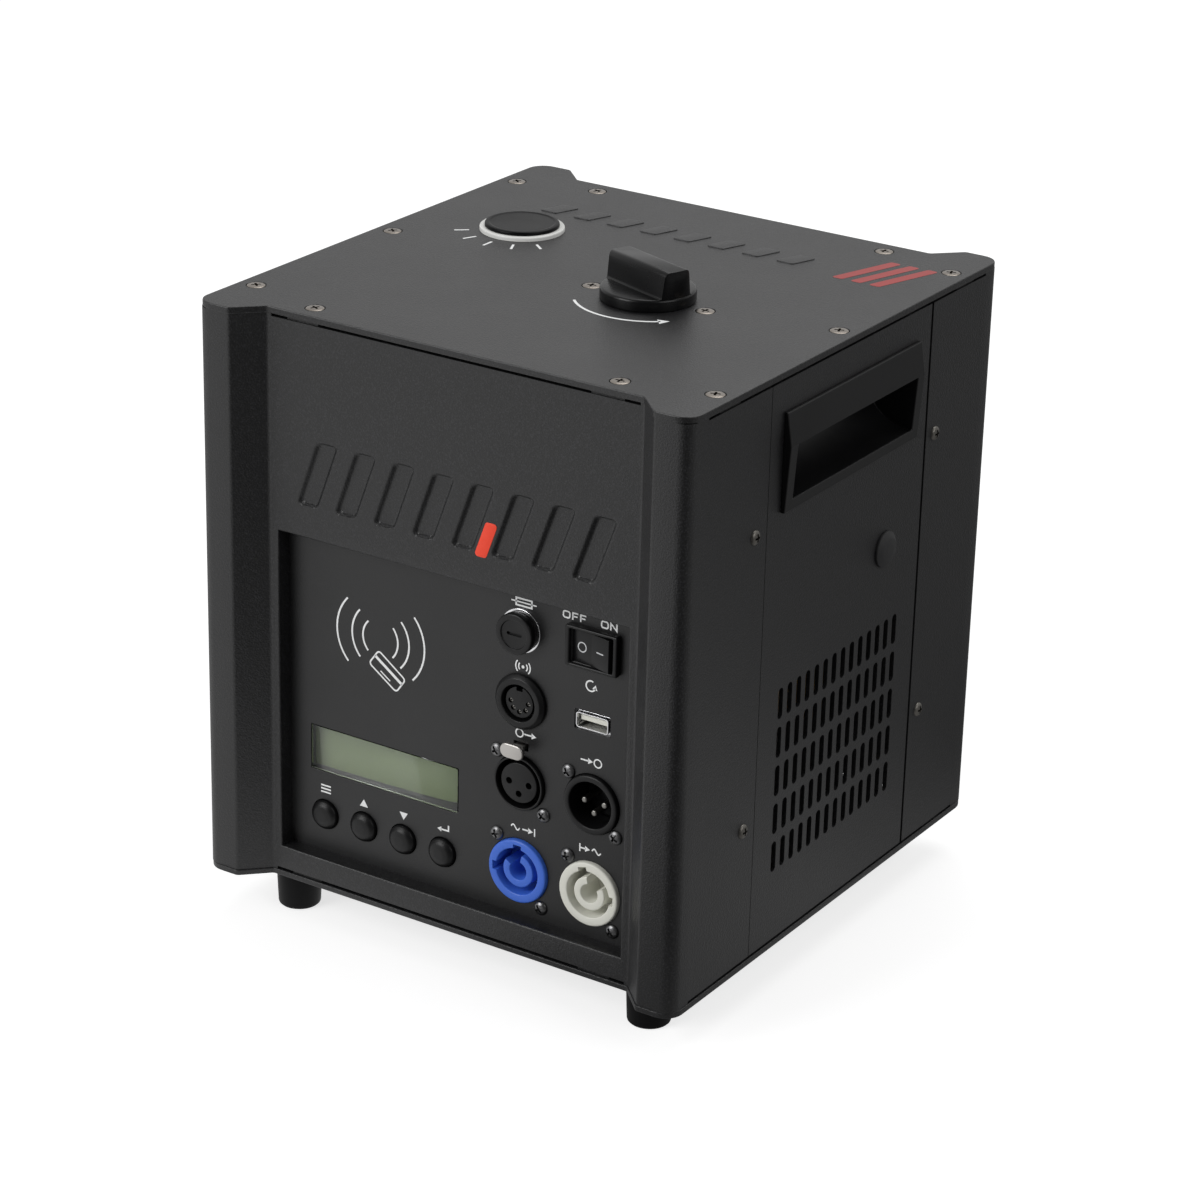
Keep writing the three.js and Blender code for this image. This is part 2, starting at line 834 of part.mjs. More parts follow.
// A moulded pocket handle: a wedge-faced frame outside the panel, and a curved pocket behind it
// with room for the fingers above and behind the lip.
function sideHandle() {
  const mouthBottom = handleRise + mouthRise;
  const mouthTop = mouthBottom + mouthHeight;
  const pocketTop = mouthTop + pocketCrown;
  const frame = polygon([
    [0, handleRise],
    [handleProudBottom, handleRise],
    [handleProudLip, mouthTop],
    [handleProudTop, handleRise + handleHeight],
    [0, handleRise + handleHeight],
  ]);
  const outerRadius = pocketDepth + pocketWall;
  const housing = polygon([
    [overlap, mouthBottom - pocketWall],
    ...arcPoints(0, mouthBottom + pocketDepth, outerRadius, 270, 180, pocketSteps),
    [-outerRadius, pocketTop + pocketWall],
    [overlap, pocketTop + pocketWall],
  ]);
  const outside = handleProudLip + overrun;
  const pocket = polygon([
    [outside, mouthBottom],
    ...arcPoints(0, mouthBottom + pocketDepth, pocketDepth, 270, 180, pocketSteps),
    [-pocketDepth, pocketTop],
    [-lipRootSetback, pocketTop],
    [handleProudLip - lipThickness, mouthTop],
    [outside, mouthTop],
  ]);
  const housingHalf = mouthWidth / 2 + pocketWall;
  return cut(
    join(
      extruded(frame, "y", -handleWidth / 2, handleWidth / 2),
      extruded(housing, "y", -housingHalf, housingHalf),
    ),
    extruded(pocket, "y", -mouthWidth / 2, mouthWidth / 2),
  );
}

function holePlug() {
  const shank = plugHoleRadius - seatGap;
  const domeStepShare = 0.6;
  const profile = [
    [0, -sheet],
    [shank - plugWall, -sheet],
    [shank - plugWall, -plugShank],
    [shank, -plugShank],
    [shank, 0],
    [plugCapRadius, 0],
    [plugCapRadius, plugRim],
    [plugCapRadius * domeStepShare, plugRim + plugDome * domeStepShare * Math.SQRT2],
    [0, plugRim + plugDome],
  ];
  return turned(profile, "x", smallSides);
}

function rubberFoot() {
  const profile = [
    [footRecessRadius, 0],
    [footBottomRadius - footEdge, 0],
    [footBottomRadius, footEdge],
    [footTopRadius, footHeight],
    [0, footHeight],
    [0, footRecessDepth],
    [footRecessRadius, footRecessDepth],
    [footRecessRadius, 0],
  ];
  return turned(profile, "z", roundSides);
}

// The control panel closes the front opening from behind. Its face is at y = 0.
function controlPanel() {
  const middleZ = openingSill + openingHeight / 2;
  const width = openingWidth + 2 * panelMargin;
  const height = openingHeight + 2 * panelMargin;
  const plate = extruded(rectangle(0, middleZ, width, height), "y", 0, panelThickness);
  const latchSlot = rectangle(
    signalOutX,
    signalOutRise + latchRise,
    latchStemWidth + 2 * seatGap,
    latchStemHeight + 2 * seatGap,
  );
  const holes = [
    rectangle(windowX, windowRise, windowWidth, windowHeight),
    ...buttonNames.map((_, i) => circle(buttonX(i), buttonRise, buttonRadius + seatGap, smallSides)),
    circle(fuseX, fuseRise, fuseNeckRadius + seatGap, smallSides),
    rectangle(switchX, switchRise, switchBodyWidth + 2 * seatGap, switchBodyHeight + 2 * seatGap),
    circle(receiverX, receiverRise, receiverBodyRadius + seatGap, roundSides),
    rectangle(usbX, usbRise, usbHoleWidth, usbHoleHeight),
    circle(signalOutX, signalOutRise, signalOutRimRadius + connectorHoleClearance, roundSides),
    latchSlot,
    circle(signalInX, signalInRise, signalInRimRadius + connectorHoleClearance, roundSides),
    circle(powerInX, powerRise, powerRimRadius + connectorHoleClearance, roundSides),
    circle(powerOutX, powerRise, powerRimRadius + connectorHoleClearance, roundSides),
  ];
  return cut(plate, ...holes.map((hole) => extruded(hole, "y", -overrun, panelThickness + overrun)));
}

function buttonX(index) {
  return buttonFirstX + index * buttonPitch;
}

function displayWindow() {
  const width = windowWidth - 2 * seatGap;
  const height = windowHeight - 2 * seatGap;
  const lens = extruded(rectangle(0, 0, width, height), "y", 0, panelBack + overlap);
  const flange = rectangle(0, 0, windowWidth + 2 * windowFlange, windowHeight + 2 * windowFlange);
  return join(lens, extruded(flange, "y", panelBack, panelBack + windowFlangeThickness));
}

// Four posts that hold a board off the back of the panel.
function standoffs(width, height, from, to) {
  const x = width / 2 - standoffInset;
  const z = height / 2 - standoffInset;
  const post = rod(standoffRadius, "y", from, to, pinSides);
  return cornerSigns.map(([across, up]) => moved(post, across * x, 0, up * z));
}

function displayModule() {
  const front = panelBack + windowFlangeThickness + displayGap;
  const boardFront = front + displayFrameDepth;
  const outline = rectangle(0, 0, displayFrameWidth, displayFrameHeight);
  const frame = extruded(outline, "y", front, boardFront + overlap);
  const view = rectangle(0, 0, displayViewWidth, displayViewHeight);
  const board = rectangle(0, 0, displayBoardWidth, displayBoardHeight);
  return join(
    cut(frame, extruded(view, "y", front - overrun, front + displayViewDepth)),
    extruded(board, "y", boardFront, boardFront + boardThickness),
    ...standoffs(displayBoardWidth, displayBoardHeight, panelBack, boardFront + overlap),
  );
}

// A domed button cap with the stem that presses its switch.
function pushButton() {
  const switchFace = controlBoardSetback - switchHeight;
  const shoulderShare = 0.65;
  const profile = [
    [0, -buttonProud],
    [buttonRadius * shoulderShare, -buttonProud + buttonDome * (1 - shoulderShare)],
    [buttonRadius, -buttonProud + buttonDome],
    [buttonRadius, buttonSkirt],
    [buttonStemRadius, buttonSkirt],
    [buttonStemRadius, switchFace - buttonTravel - seatGap / 2],
    [0, switchFace - buttonTravel - seatGap / 2],
  ];
  return turned(profile, "y", smallSides);
}

// The control board hangs behind the display and carries the four switches of the buttons.
function controlBoard() {
  const middleZ = controlBoardRise + controlBoardHeight / 2;
  const board = rectangle(windowX, middleZ, controlBoardWidth, controlBoardHeight);
  const switches = buttonNames.map((_, i) =>
    extruded(
      rectangle(buttonX(i), buttonRise, switchSize, switchSize),
      "y",
      controlBoardSetback - switchHeight,
      controlBoardSetback + overlap,
    ),
  );
  const posts = standoffs(controlBoardWidth, controlBoardHeight, panelBack, controlBoardSetback + overlap);
  return join(
    extruded(board, "y", controlBoardSetback, controlBoardSetback + boardThickness),
    ...posts.map((post) => moved(post, windowX, 0, middleZ)),
    ...switches,
  );
}

function cardReaderBoard() {
  const board = rectangle(0, 0, cardBoardWidth, cardBoardHeight);
  const chip = rectangle(0, 0, cardChipSize, cardChipSize);
  const back = cardBoardSetback + boardThickness;
  return join(
    extruded(board, "y", cardBoardSetback, back),
    extruded(chip, "y", back - overlap, back + cardChipHeight),
    ...standoffs(cardBoardWidth, cardBoardHeight, panelBack, cardBoardSetback + overlap),
  );
}

// The fuse holder's flange lies on a bright ring, and its nut behind the panel.
function fuseRing() {
  return ring(fuseRingRadius, fuseNeckRadius + seatGap, "y", -fuseRingThickness, 0, roundSides);
}

function fuseHolder() {
  const front = -fuseRingThickness - fuseFlangeThickness;
  const back = front + fuseBodyLength;
  const profile = [
    [fuseBoreRadius, front],
    [fuseFlangeRadius, front],
    [fuseFlangeRadius, -fuseRingThickness],
    [fuseNeckRadius, -fuseRingThickness],
    [fuseNeckRadius, panelBack],
    [fuseNutRadius, panelBack],
    [fuseNutRadius, panelBack + fuseNutThickness],
    [fuseBodyRadius, panelBack + fuseNutThickness],
    [fuseBodyRadius, back],
    [0, back],
    [0, back - fuseEndWall],
    [fuseBoreRadius, back - fuseEndWall],
    [fuseBoreRadius, front],
  ];
  return turned(profile, "y", smallSides);
}

function fuseCap() {
  const flangeFront = -fuseRingThickness - fuseFlangeThickness;
  const back = flangeFront - seatGap;
  const stemEnd = flangeFront + fuseStemReach;
  const profile = [
    [0, fuseCapFaceDepth - fuseCapProud],
    [fuseCapFace, fuseCapFaceDepth - fuseCapProud],
    [fuseCapFace, -fuseCapProud],
    [fuseCapRadius - fuseCapChamfer, -fuseCapProud],
    [fuseCapRadius, fuseCapChamfer - fuseCapProud],
    [fuseCapRadius, back],
    [fuseStemRadius, back],
    [fuseStemRadius, stemEnd],
    [fuseSocketRadius, stemEnd],
    [fuseSocketRadius, stemEnd - fuseSocketDepth],
    [0, stemEnd - fuseSocketDepth],
  ];
  const slot = extruded(
    rectangle(0, 0, fuseSlotLength, fuseSlotWidth),
    "y",
    -fuseCapProud - overrun,
    fuseSlotDepth - fuseCapProud,
  );
  return cut(turned(profile, "y", roundSides), slot);
}

function fuseLink() {
  const start = fuseStemReach - fuseSocketDepth - fuseRingThickness - fuseFlangeThickness + seatGap;
  const end = start + fuseLinkLength;
  const profile = [
    [0, start],
    [fuseLinkRadius, start],
    [fuseLinkRadius, start + fuseEndLength],
    [fuseGlassRadius, start + fuseEndLength],
    [fuseGlassRadius, end - fuseEndLength],
    [fuseLinkRadius, end - fuseEndLength],
    [fuseLinkRadius, end],
    [0, end],
  ];
  return turned(profile, "y", smallSides);
}

// The switch frame clips into the panel. The rocker tilts in its well on two short pins.
function switchFrame() {
  const inner = rectangle(
    0,
    0,
    2 * (rockerRadius + rockerClearance),
    rockerHeight + 2 * rockerClearance,
  );
  const bezelBack = [switchBezelWidth, switchBezelHeight, 0];
  const bezelMid = [switchBezelWidth, switchBezelHeight, switchBezelChamfer - switchBezelProud];
  const bezelFront = [
    switchBezelWidth - 2 * switchBezelChamfer,
    switchBezelHeight - 2 * switchBezelChamfer,
    -switchBezelProud,
  ];
  const bezel = lofted(
    [bezelBack, bezelMid, bezelFront].map(([width, height, y]) =>
      cornerSigns.map(([across, up]) => new THREE.Vector3((across * width) / 2, y, (up * height) / 2)),
    ),
  );
  const body = extruded(rectangle(0, 0, switchBodyWidth, switchBodyHeight), "y", -overlap, switchBodyDepth);
  const well = extruded(inner, "y", -switchBezelProud - overrun, switchWellDepth);
  const pinReach = rockerHeight / 2 + rockerPinLength + rockerClearance;
  const pinHoles = rod(rockerPinRadius + shaftFit, "z", -pinReach, pinReach, pinSides);
  return cut(join(bezel, body), well, moved(pinHoles, 0, -rockerPivotProud, 0));
}

// The rocker's ends are arcs about its pivot, and its face is hollowed a little toward the middle.
// It is made level and rests tilted, with its left end pressed in.
function powerRocker() {
  const corner = rockerRadius * Math.sin(THREE.MathUtils.degToRad(rockerCornerAngle));
  const profile = polygon([
    [0, rockerHollow - corner],
    ...arcPoints(0, 0, rockerRadius, -rockerCornerAngle, rockerBackAngle, cornerSteps),
    ...arcPoints(0, 0, rockerRadius, 180 - rockerBackAngle, 180 + rockerCornerAngle, cornerSteps),
  ]);
  const geometry = new THREE.ExtrudeGeometry(profile, { depth: rockerHeight, bevelEnabled: false });
  const pinReach = rockerHeight / 2 + rockerPinLength;
  const pins = rod(rockerPinRadius, "z", -pinReach, pinReach, pinSides);
  return join(solidOf(geometry.translate(0, 0, -rockerHeight / 2)), pins);
}

// Five-pole round socket with a key at the top.
function receiverSocket() {
  const insertFront = receiverInsertSetback - receiverProud;
  const profile = [
    [0, insertFront],
    [receiverInsertRadius, insertFront],
    [receiverInsertRadius, receiverGroove - receiverProud],
    [receiverMouthRadius, receiverGroove - receiverProud],
    [receiverMouthRadius, -receiverProud],
    [receiverFaceRadius, -receiverProud],
    [receiverFlangeRadius, receiverFaceRadius - receiverFlangeRadius],
    [receiverFlangeRadius, 0],
    [receiverBodyRadius, 0],
    [receiverBodyRadius, panelBack],
    [receiverNutRadius, panelBack],
    [receiverNutRadius, panelBack + receiverNutThickness],
    [receiverBodyRadius, panelBack + receiverNutThickness],
    [receiverBodyRadius, receiverBodyLength],
    [0, receiverBodyLength],
  ];
  const contactEnd = insertFront + receiverPinDepth;
  const contact = rod(receiverPinRadius, "y", insertFront - overrun, contactEnd, pinSides);
  const contacts = onCircle(contact, receiverPinCircle, receiverPinAngles);
  const key = block(
    [-receiverKeyWidth / 2, receiverKeyWidth / 2],
    [insertFront - overlap, contactEnd],
    [receiverInsertRadius - receiverKeyDepth, receiverMouthRadius - overlap / 2],
  );
  return cut(turned(profile, "y", roundSides), ...contacts, key);
}

// Copies of a piece on a circle about the y axis.
function onCircle(solid, radius, angles) {
  return angles.map((angle) => {
    const turn = THREE.MathUtils.degToRad(angle);
    return moved(solid, radius * Math.cos(turn), 0, radius * Math.sin(turn));
  });
}

function usbShell() {
  const end = usbSetback + usbLength;
  const tube = extruded(rectangle(0, 0, usbWidth, usbHeight), "y", usbSetback, end);
  const flange = extruded(
    rectangle(0, 0, usbHoleWidth + 2 * usbFlange, usbHoleHeight + 2 * usbFlange),
    "y",
    panelBack,
    panelBack + usbFlangeThickness,
  );
  const bore = rectangle(0, 0, usbWidth - 2 * usbWall, usbHeight - 2 * usbWall);
  return cut(join(tube, flange), extruded(bore, "y", usbSetback - overrun, end + overrun));
}

function usbTongue() {
  const end = usbSetback + usbLength;
  const width = usbWidth - 2 * usbWall - seatGap;
  const height = usbHeight - 2 * usbWall - seatGap;
  const core = extruded(rectangle(0, 0, width, height), "y", end - usbCoreLength, end);
  const tongue = rectangle(0, usbTongueDrop, usbTongueWidth, usbTongueHeight);
  return join(core, extruded(tongue, "y", usbTongueSetback, end - overlap));
}

function connectorFlange(bodyRadius, bodyLength, sides) {
  const outline = roundedRectangle(
    0,
    0,
    connectorFlangeWidth,
    connectorFlangeHeight,
    seatGap,
    chamferSteps,
  );
  const plate = extruded(outline, "y", panelBack, panelBack + connectorFlangeThickness);
  return cut(plate, rod(bodyRadius - overlap / 2, "y", 0, bodyLength, sides));
}

// Three-pole socket for the signal to the next machine.
function signalOutSocket() {
  const insertFront = signalOutInsertSetback - connectorProud;
  const profile = [
    [0, insertFront],
    [signalOutInsertRadius, insertFront],
    [signalOutInsertRadius, signalOutGroove - connectorProud],
    [signalOutGrooveRadius, signalOutGroove - connectorProud],
    [signalOutGrooveRadius, -connectorProud],
    [signalOutRimRadius, -connectorProud],
    [signalOutRimRadius, signalOutBodyLength],
    [0, signalOutBodyLength],
  ];
  const body = turned(profile, "y", roundSides);
  const plate = connectorFlange(signalOutRimRadius, signalOutBodyLength, roundSides);
  const contactEnd = insertFront + contactHoleDepth;
  const contact = rod(contactHoleRadius, "y", insertFront - overrun, contactEnd, pinSides);
  const latchSlot = extruded(
    rectangle(0, latchRise, latchStemWidth + 2 * seatGap, latchStemHeight + 2 * seatGap),
    "y",
    -overrun,
    signalOutBodyLength,
  );
  const contacts = onCircle(contact, contactCircle, contactAngles);
  return cut(join(body, plate), ...contacts, latchSlot);
}

// The metal tab that releases the plug: an oval head on a stem that passes the panel.
function signalOutLatch() {
  const head = roundedRectangle(0, 0, latchWidth, latchHeight, latchHeight / 2, latchEndSteps);
  const stem = rectangle(0, 0, latchStemWidth, latchStemHeight);
  const headBack = latchHeadThickness - latchProud;
  return join(
    extruded(head, "y", -latchProud, headBack),
    extruded(stem, "y", headBack - overlap, latchReach),
  );
}

// Three-pole plug for the incoming signal: a cup with the pin carrier seated at its bottom.
function signalInShell() {
  const profile = [
    [signalInBackRadius, signalInBodyLength],
    [signalInBackRadius, signalInBoreDepth],
    [signalInBoreRadius, signalInBoreDepth],
    [signalInBoreRadius, -connectorProud],
    [signalInRimRadius, -connectorProud],
    [signalInRimRadius, signalInBodyLength],
    [signalInBackRadius, signalInBodyLength],
  ];
  const plate = connectorFlange(signalInRimRadius, signalInBodyLength, roundSides);
  return join(turned(profile, "y", roundSides), plate);
}

function signalInInsert() {
  const front = signalInBoreDepth - signalInInsertThickness;
  const carrier = turned(
    [
      [0, front],
      [signalInBoreRadius - seatGap, front],
      [signalInBoreRadius - seatGap, signalInBoreDepth],
      [signalInBackRadius - seatGap, signalInBoreDepth],
      [signalInBackRadius - seatGap, signalInBodyLength],
      [0, signalInBodyLength],
    ],
    "y",
    roundSides,
  );
  const tip = contactPinSetback - connectorProud;
  const pin = turned(
    [
      [0, tip],
      [contactPinRadius / 2, tip],
      [contactPinRadius, tip + contactPinRadius / 2],
      [contactPinRadius, front + overlap],
      [0, front + overlap],
    ],
    "y",
    pinSides,
  );
  return join(carrier, ...onCircle(pin, contactCircle, contactAngles));
}

// Locking power connector: a wide rim, a keyed groove and a broken inner ring around the contacts.
function powerConnector(notchAngles, gap) {
  const grooveBottom = powerGrooveDepth - connectorProud;
  const ringFront = powerRingSetback - connectorProud;
  const profile = [
    [0, grooveBottom],
    [powerCoreRadius, grooveBottom],
    [powerCoreRadius, ringFront],
    [powerRingRadius, ringFront],
    [powerRingRadius, grooveBottom],
    [powerGrooveRadius, grooveBottom],
    [powerGrooveRadius, -connectorProud],
    [powerRimRadius, -connectorProud],
    [powerRimRadius, panelBack],
    [powerBodyRadius, panelBack],
    [powerBodyRadius, powerBodyLength],
    [0, powerBodyLength],
  ];
  const body = turned(profile, "y", fineSides);
  const plate = connectorFlange(powerBodyRadius, powerBodyLength, fineSides);
  const notchReach = powerGrooveRadius + powerNotchDepth;
  const notch = block(
    [powerGrooveRadius - powerNotchDepth, notchReach],
    [-connectorProud - overrun, grooveBottom],
    [-powerNotchWidth / 2, powerNotchWidth / 2],
  );
  const notches = notchAngles.map((angle) => notch.rotate([0, -angle, 0]));
  const gapHalf = gap.width / 2;
  const middleRadius = (powerGrooveRadius + powerRingRadius) / 2;
  const wedge = polygon([
    [0, 0],
    ...arcPoints(0, 0, middleRadius, gap.middle - gapHalf, gap.middle + gapHalf, cornerSteps),
  ]);
  const opening = extruded(wedge, "y", -connectorProud - overrun, grooveBottom);
  const blade = block(
    [-powerTerminalWidth / 2, powerTerminalWidth / 2],
    [powerBodyLength - overlap, powerBodyLength + powerTerminalLength],
    [-powerTerminalThickness / 2, powerTerminalThickness / 2],
  );
  const blades = [-1, 0, 1].map((place) => moved(blade, 0, 0, place * powerTerminalSpread));
  return join(cut(join(body, plate), ...notches, opening), ...blades);
}

// The filler neck hangs under the top plate from two screws. Its rim stands in the plate's hole.
function fillerNeck() {
  const outline = roundedRectangle(
    0,
    0,
    neckFlangeLength,
    neckFlangeWidth,
    neckFlangeWidth / 2,
    cornerSteps,
  );
  const flangeTop = -topPlateThickness;
  const flange = extruded(outline, "z", flangeTop - neckFlangeThickness, flangeTop);
  const tube = rod(neckRadius, "z", -neckLength, -neckRimDrop, roundSides);
  const bore = rod(neckBoreRadius, "z", -neckLength - overrun, overrun, roundSides);
  return cut(join(flange, tube), bore);
}

function fillerSeal() {
  const inside = capPlugRadius + seatGap;
  return ring(inside + sealWidth, inside, "z", -neckRimDrop, 0, roundSides);
}

// The cap: a disc, a grip bar with sloping sides right across it, and a hollow plug below.
function fillerCap() {
  const disc = turned(
    [
      [0, 0],
      [capRadius - capEdge, 0],
      [capRadius, capEdge],
      [capRadius, capThickness - capEdge],
      [capRadius - capEdge, capThickness],
      [0, capThickness],
    ],
    "z",
    fineSides,
  );
  const bar = polygon([
    [-gripBaseWidth / 2, capThickness - overlap],
    [gripBaseWidth / 2, capThickness - overlap],
    [gripTopWidth / 2, gripTop - gripEdge],
    [gripTopWidth / 2 - gripEdge, gripTop],
    [gripEdge - gripTopWidth / 2, gripTop],
    [-gripTopWidth / 2, gripTop - gripEdge],
  ]);
  const grip = extruded(bar, "x", -gripLength / 2, gripLength / 2);
  const round = rod(capRadius, "z", 0, gripTop + overrun, fineSides);
  const plugBore = capPlugRadius - capPlugWall;
  const plug = ring(capPlugRadius, plugBore, "z", -capPlugLength, overlap, roundSides);
  return join(disc, grip.intersect(round), plug);
}

// The hopper hangs under the filler neck and runs down to a round spout over the feed screw.
function hopper() {
  const sides = 4 * (hopperCornerSteps + 1);
  const ringAt = (inset, z) => {
    const x = (hopperLeft + hopperRight) / 2;
    const y = (hopperFront + hopperBack) / 2;
    const outline = roundedRectangle(
      x,
      y,
      hopperRight - hopperLeft - 2 * inset,
      hopperBack - hopperFront - 2 * inset,
      hopperCorner - inset,
      hopperCornerSteps,
    );
    return outline.getPoints().slice(0, sides).map((point) => new THREE.Vector3(point.x, point.y, z));
  };
  const spoutAt = (inset, z) =>
    arcPoints(feedInletX, outletY, hopperSpoutRadius - inset, 0, fullTurn, sides)
      .slice(0, sides)
      .map(([x, y]) => new THREE.Vector3(x, y, z));
  const shoulder = hopperTop - hopperStraight;
  const spoutBottom = feedZ + feedCollarRise - hopperSpoutLength / 2;
  const spoutTop = spoutBottom + hopperSpoutLength;
  const outer = lofted([
    spoutAt(0, spoutBottom),
    spoutAt(0, spoutTop),
    ringAt(0, shoulder),
    ringAt(0, hopperTop),
  ]);
  const inner = lofted([
    spoutAt(hopperWall, spoutBottom - overrun),
    spoutAt(hopperWall, spoutTop),
    ringAt(hopperWall, shoulder),
    ringAt(hopperWall, hopperTop - hopperWall),
  ]);
  const mouthFrom = hopperTop - hopperWall - overrun;
  const mouth = rod(neckRadius + seatGap, "z", mouthFrom, hopperTop + overrun, roundSides);
  return cut(outer, inner, moved(mouth, fillerX, fillerY, 0));
}

// White ring around the spark outlet, and the black cap that covers it.
function outletRing() {
  return ring(outletRingRadius, sparkTubeRadius + seatGap, "z", 0, outletRingHeight, fineSides);
}

function outletCap() {
  const top = outletRingHeight + outletCapHeight;
  const domeStepShare = 0.6;
  const profile = [
    [0, outletRingHeight - outletPlugLength],
    [outletPlugRadius, outletRingHeight - outletPlugLength],
    [outletPlugRadius, outletRingHeight],
    [outletCapRadius, outletRingHeight],
    [outletCapRadius, top],
    [outletCapRadius * domeStepShare, top + outletCapDome * domeStepShare],
    [0, top + outletCapDome],
  ];
  return turned(profile, "z", fineSides);
}

// The heated tube stands in the feed block and ends just under the outlet cap.
function sparkTube() {
  const bottom = blockTop - blockSeatDepth;
  const top = topPlateTop + outletRingHeight - seatGap;
  const profile = [
    [sparkTubeBore, bottom],
    [sparkTubeRadius, bottom],
    [sparkTubeRadius, sparkCollarTop - sparkCollarThickness],
    [sparkCollarRadius, sparkCollarTop - sparkCollarThickness],
    [sparkCollarRadius, sparkCollarTop],
    [sparkTubeRadius, sparkCollarTop],
    [sparkTubeRadius, top],
    [sparkTubeBore, top],
    [sparkTubeBore, bottom],
  ];
  return turned(profile, "z", roundSides);
}

function ceramicSleeve() {
  const top = sparkCollarTop + sleeveHeight;
  return ring(sleeveRadius, sparkTubeRadius + seatGap, "z", sparkCollarTop, top, roundSides);
}

// The induction coil is one tube, wound in a helix around the ceramic sleeve.
function inductionCoil() {
  const radius = sleeveRadius + seatGap + coilTubeRadius;
  const start = sparkCollarTop + (sleeveHeight - coilTurns * coilPitch) / 2;
  const steps = coilTurns * coilStepsPerTurn;
  const middles = Array.from({ length: steps + 1 }, (_, step) => {
    const turn = (2 * Math.PI * step) / coilStepsPerTurn;
    const z = start + (coilPitch * step) / coilStepsPerTurn;
    return { turn, out: new THREE.Vector3(Math.cos(turn), Math.sin(turn), 0), z };
  });
  const rings = middles.map(({ out, z }) =>
    arcPoints(radius, z, coilTubeRadius, 0, fullTurn, coilSides)
      .slice(0, coilSides)
      .map(([r, height]) => out.clone().multiplyScalar(r).setZ(height)),
  );
  const path = middles.map(({ out, z }) => out.clone().multiplyScalar(radius).setZ(z));
  console.log("least gap between coil turns", leastGap(path, coilStepsPerTurn / 2).toFixed(2));
  return lofted(rings);
}

// The least gap between stretches of the coil's tube that lie some steps apart along it.
function leastGap(path, stepsApart) {
  const apart = path.flatMap((point, i) =>
    path.slice(i + stepsApart).map((other) => point.distanceTo(other)),
  );
  return Math.min(...apart) - 2 * coilTubeRadius;
}

// One casting: the block under the heated tube, the screw's tube and the collar under the hopper.
// Its axis lies along x at the height of the feed screw.
function feedHousing() {
  const half = blockWidth / 2;
  const body = block(
    [outletX - half, outletX + half],
    [outletY - half, outletY + half],
    [blockBottom, blockTop],
  );
  const tube = moved(
    rod(feedTubeRadius, "x", outletX + half - overlap, bracketX, roundSides),
    0,
    outletY,
    feedZ,
  );
  const collarTop = feedZ + feedCollarRise;
  const collar = moved(rod(feedCollarRadius, "z", feedZ, collarTop, roundSides), feedInletX, outletY, 0);
  const bore = moved(rod(feedBoreRadius, "x", outletX, bracketX + overrun, roundSides), 0, outletY, feedZ);
  const inlet = moved(
    rod(hopperSpoutRadius + seatGap, "z", feedZ + feedTubeRadius, collarTop + overrun, smallSides),
    feedInletX,
    outletY,
    0,
  );
  const drop = moved(rod(feedBoreRadius, "z", feedZ, collarTop, smallSides), feedInletX, outletY, 0);
  const sparkBore = outletPlaced(
    rod(sparkTubeBore, "z", blockBottom - overrun, blockTop + overrun, roundSides),
  );
  const seat = outletPlaced(
    rod(sparkTubeRadius + seatGap, "z", blockTop - blockSeatDepth, blockTop + overrun, roundSides),
  );
  return cut(join(body, tube, collar), bore, inlet, drop, sparkBore, seat);
}

// The feed screw: a shaft with one helical flight, from the block to the gear.
function feedAuger() {
  const start = outletX + sparkTubeBore + augerTail;
  const end = gearStart + gearWidth + augerTail;
  const shaft = rod(augerShaftRadius, "x", start, end, pinSides);
  const inside = augerShaftRadius - overlap;
  const half = augerFlightThickness / 2;
  const flightStart = start + augerTail + half;
  const pitch = (bracketX - augerEndGap - flightStart) / augerTurns;
  const steps = augerTurns * augerStepsPerTurn;
  const rings = Array.from({ length: steps + 1 }, (_, step) => {
    const turn = (2 * Math.PI * step) / augerStepsPerTurn;
    const x = flightStart + (pitch * step) / augerStepsPerTurn;
    const at = (radius, shift) =>
      new THREE.Vector3(x + shift, radius * Math.cos(turn), radius * Math.sin(turn));
    return [at(inside, -half), at(augerFlightRadius, -half), at(augerFlightRadius, half), at(inside, half)];
  });
  return join(shaft, lofted(rings));
}

// A spur gear with straight-flanked teeth, its first tooth or gap turned to the given angle.
function spurGear(teeth, shaftRadius, shaftSides, phase) {
  const pitchRadius = (gearModule * teeth) / 2;
  const tip = pitchRadius + gearModule;
  const root = pitchRadius - gearModule * gearDedendumShare;
  const toothAngle = fullTurn / teeth;
  const half = THREE.MathUtils.radToDeg((Math.PI * gearModule) / 2 - gearBacklash) / pitchRadius / 2;
  const points = Array.from({ length: teeth }, (_, tooth) => {
    const middle = phase + tooth * toothAngle;
    return [
      pointAt(root, middle - half * gearRootShare),
      pointAt(tip, middle - half * gearTipShare),
      pointAt(tip, middle + half * gearTipShare),
      pointAt(root, middle + half * gearRootShare),
    ];
  }).flat();
  const bore = rod(shaftRadius + shaftFit, "x", -overrun, gearWidth + overrun, shaftSides);
  return cut(extruded(polygon(points), "x", 0, gearWidth), bore);
}

// The bracket stands on the base plate. It carries the motor and the end of the screw's tube.
function motorBracket() {
  const halfWidth = motorRadius + bracketMargin;
  const top = feedZ + feedTubeRadius + bracketMargin;
  const plate = block([0, bracketThickness], [-halfWidth, halfWidth], [basePlateTop, top]);
  const foot = block(
    [0, bracketFoot],
    [-halfWidth, halfWidth],
    [basePlateTop, basePlateTop + bracketThickness],
  );
  const hole = (radius, z) =>
    moved(rod(radius, "x", -overrun, bracketThickness + overrun, smallSides), 0, 0, z);
  return cut(
    join(plate, foot),
    hole(augerShaftRadius + seatGap, feedZ),
    hole(motorBossRadius + seatGap, motorZ),
  );
}

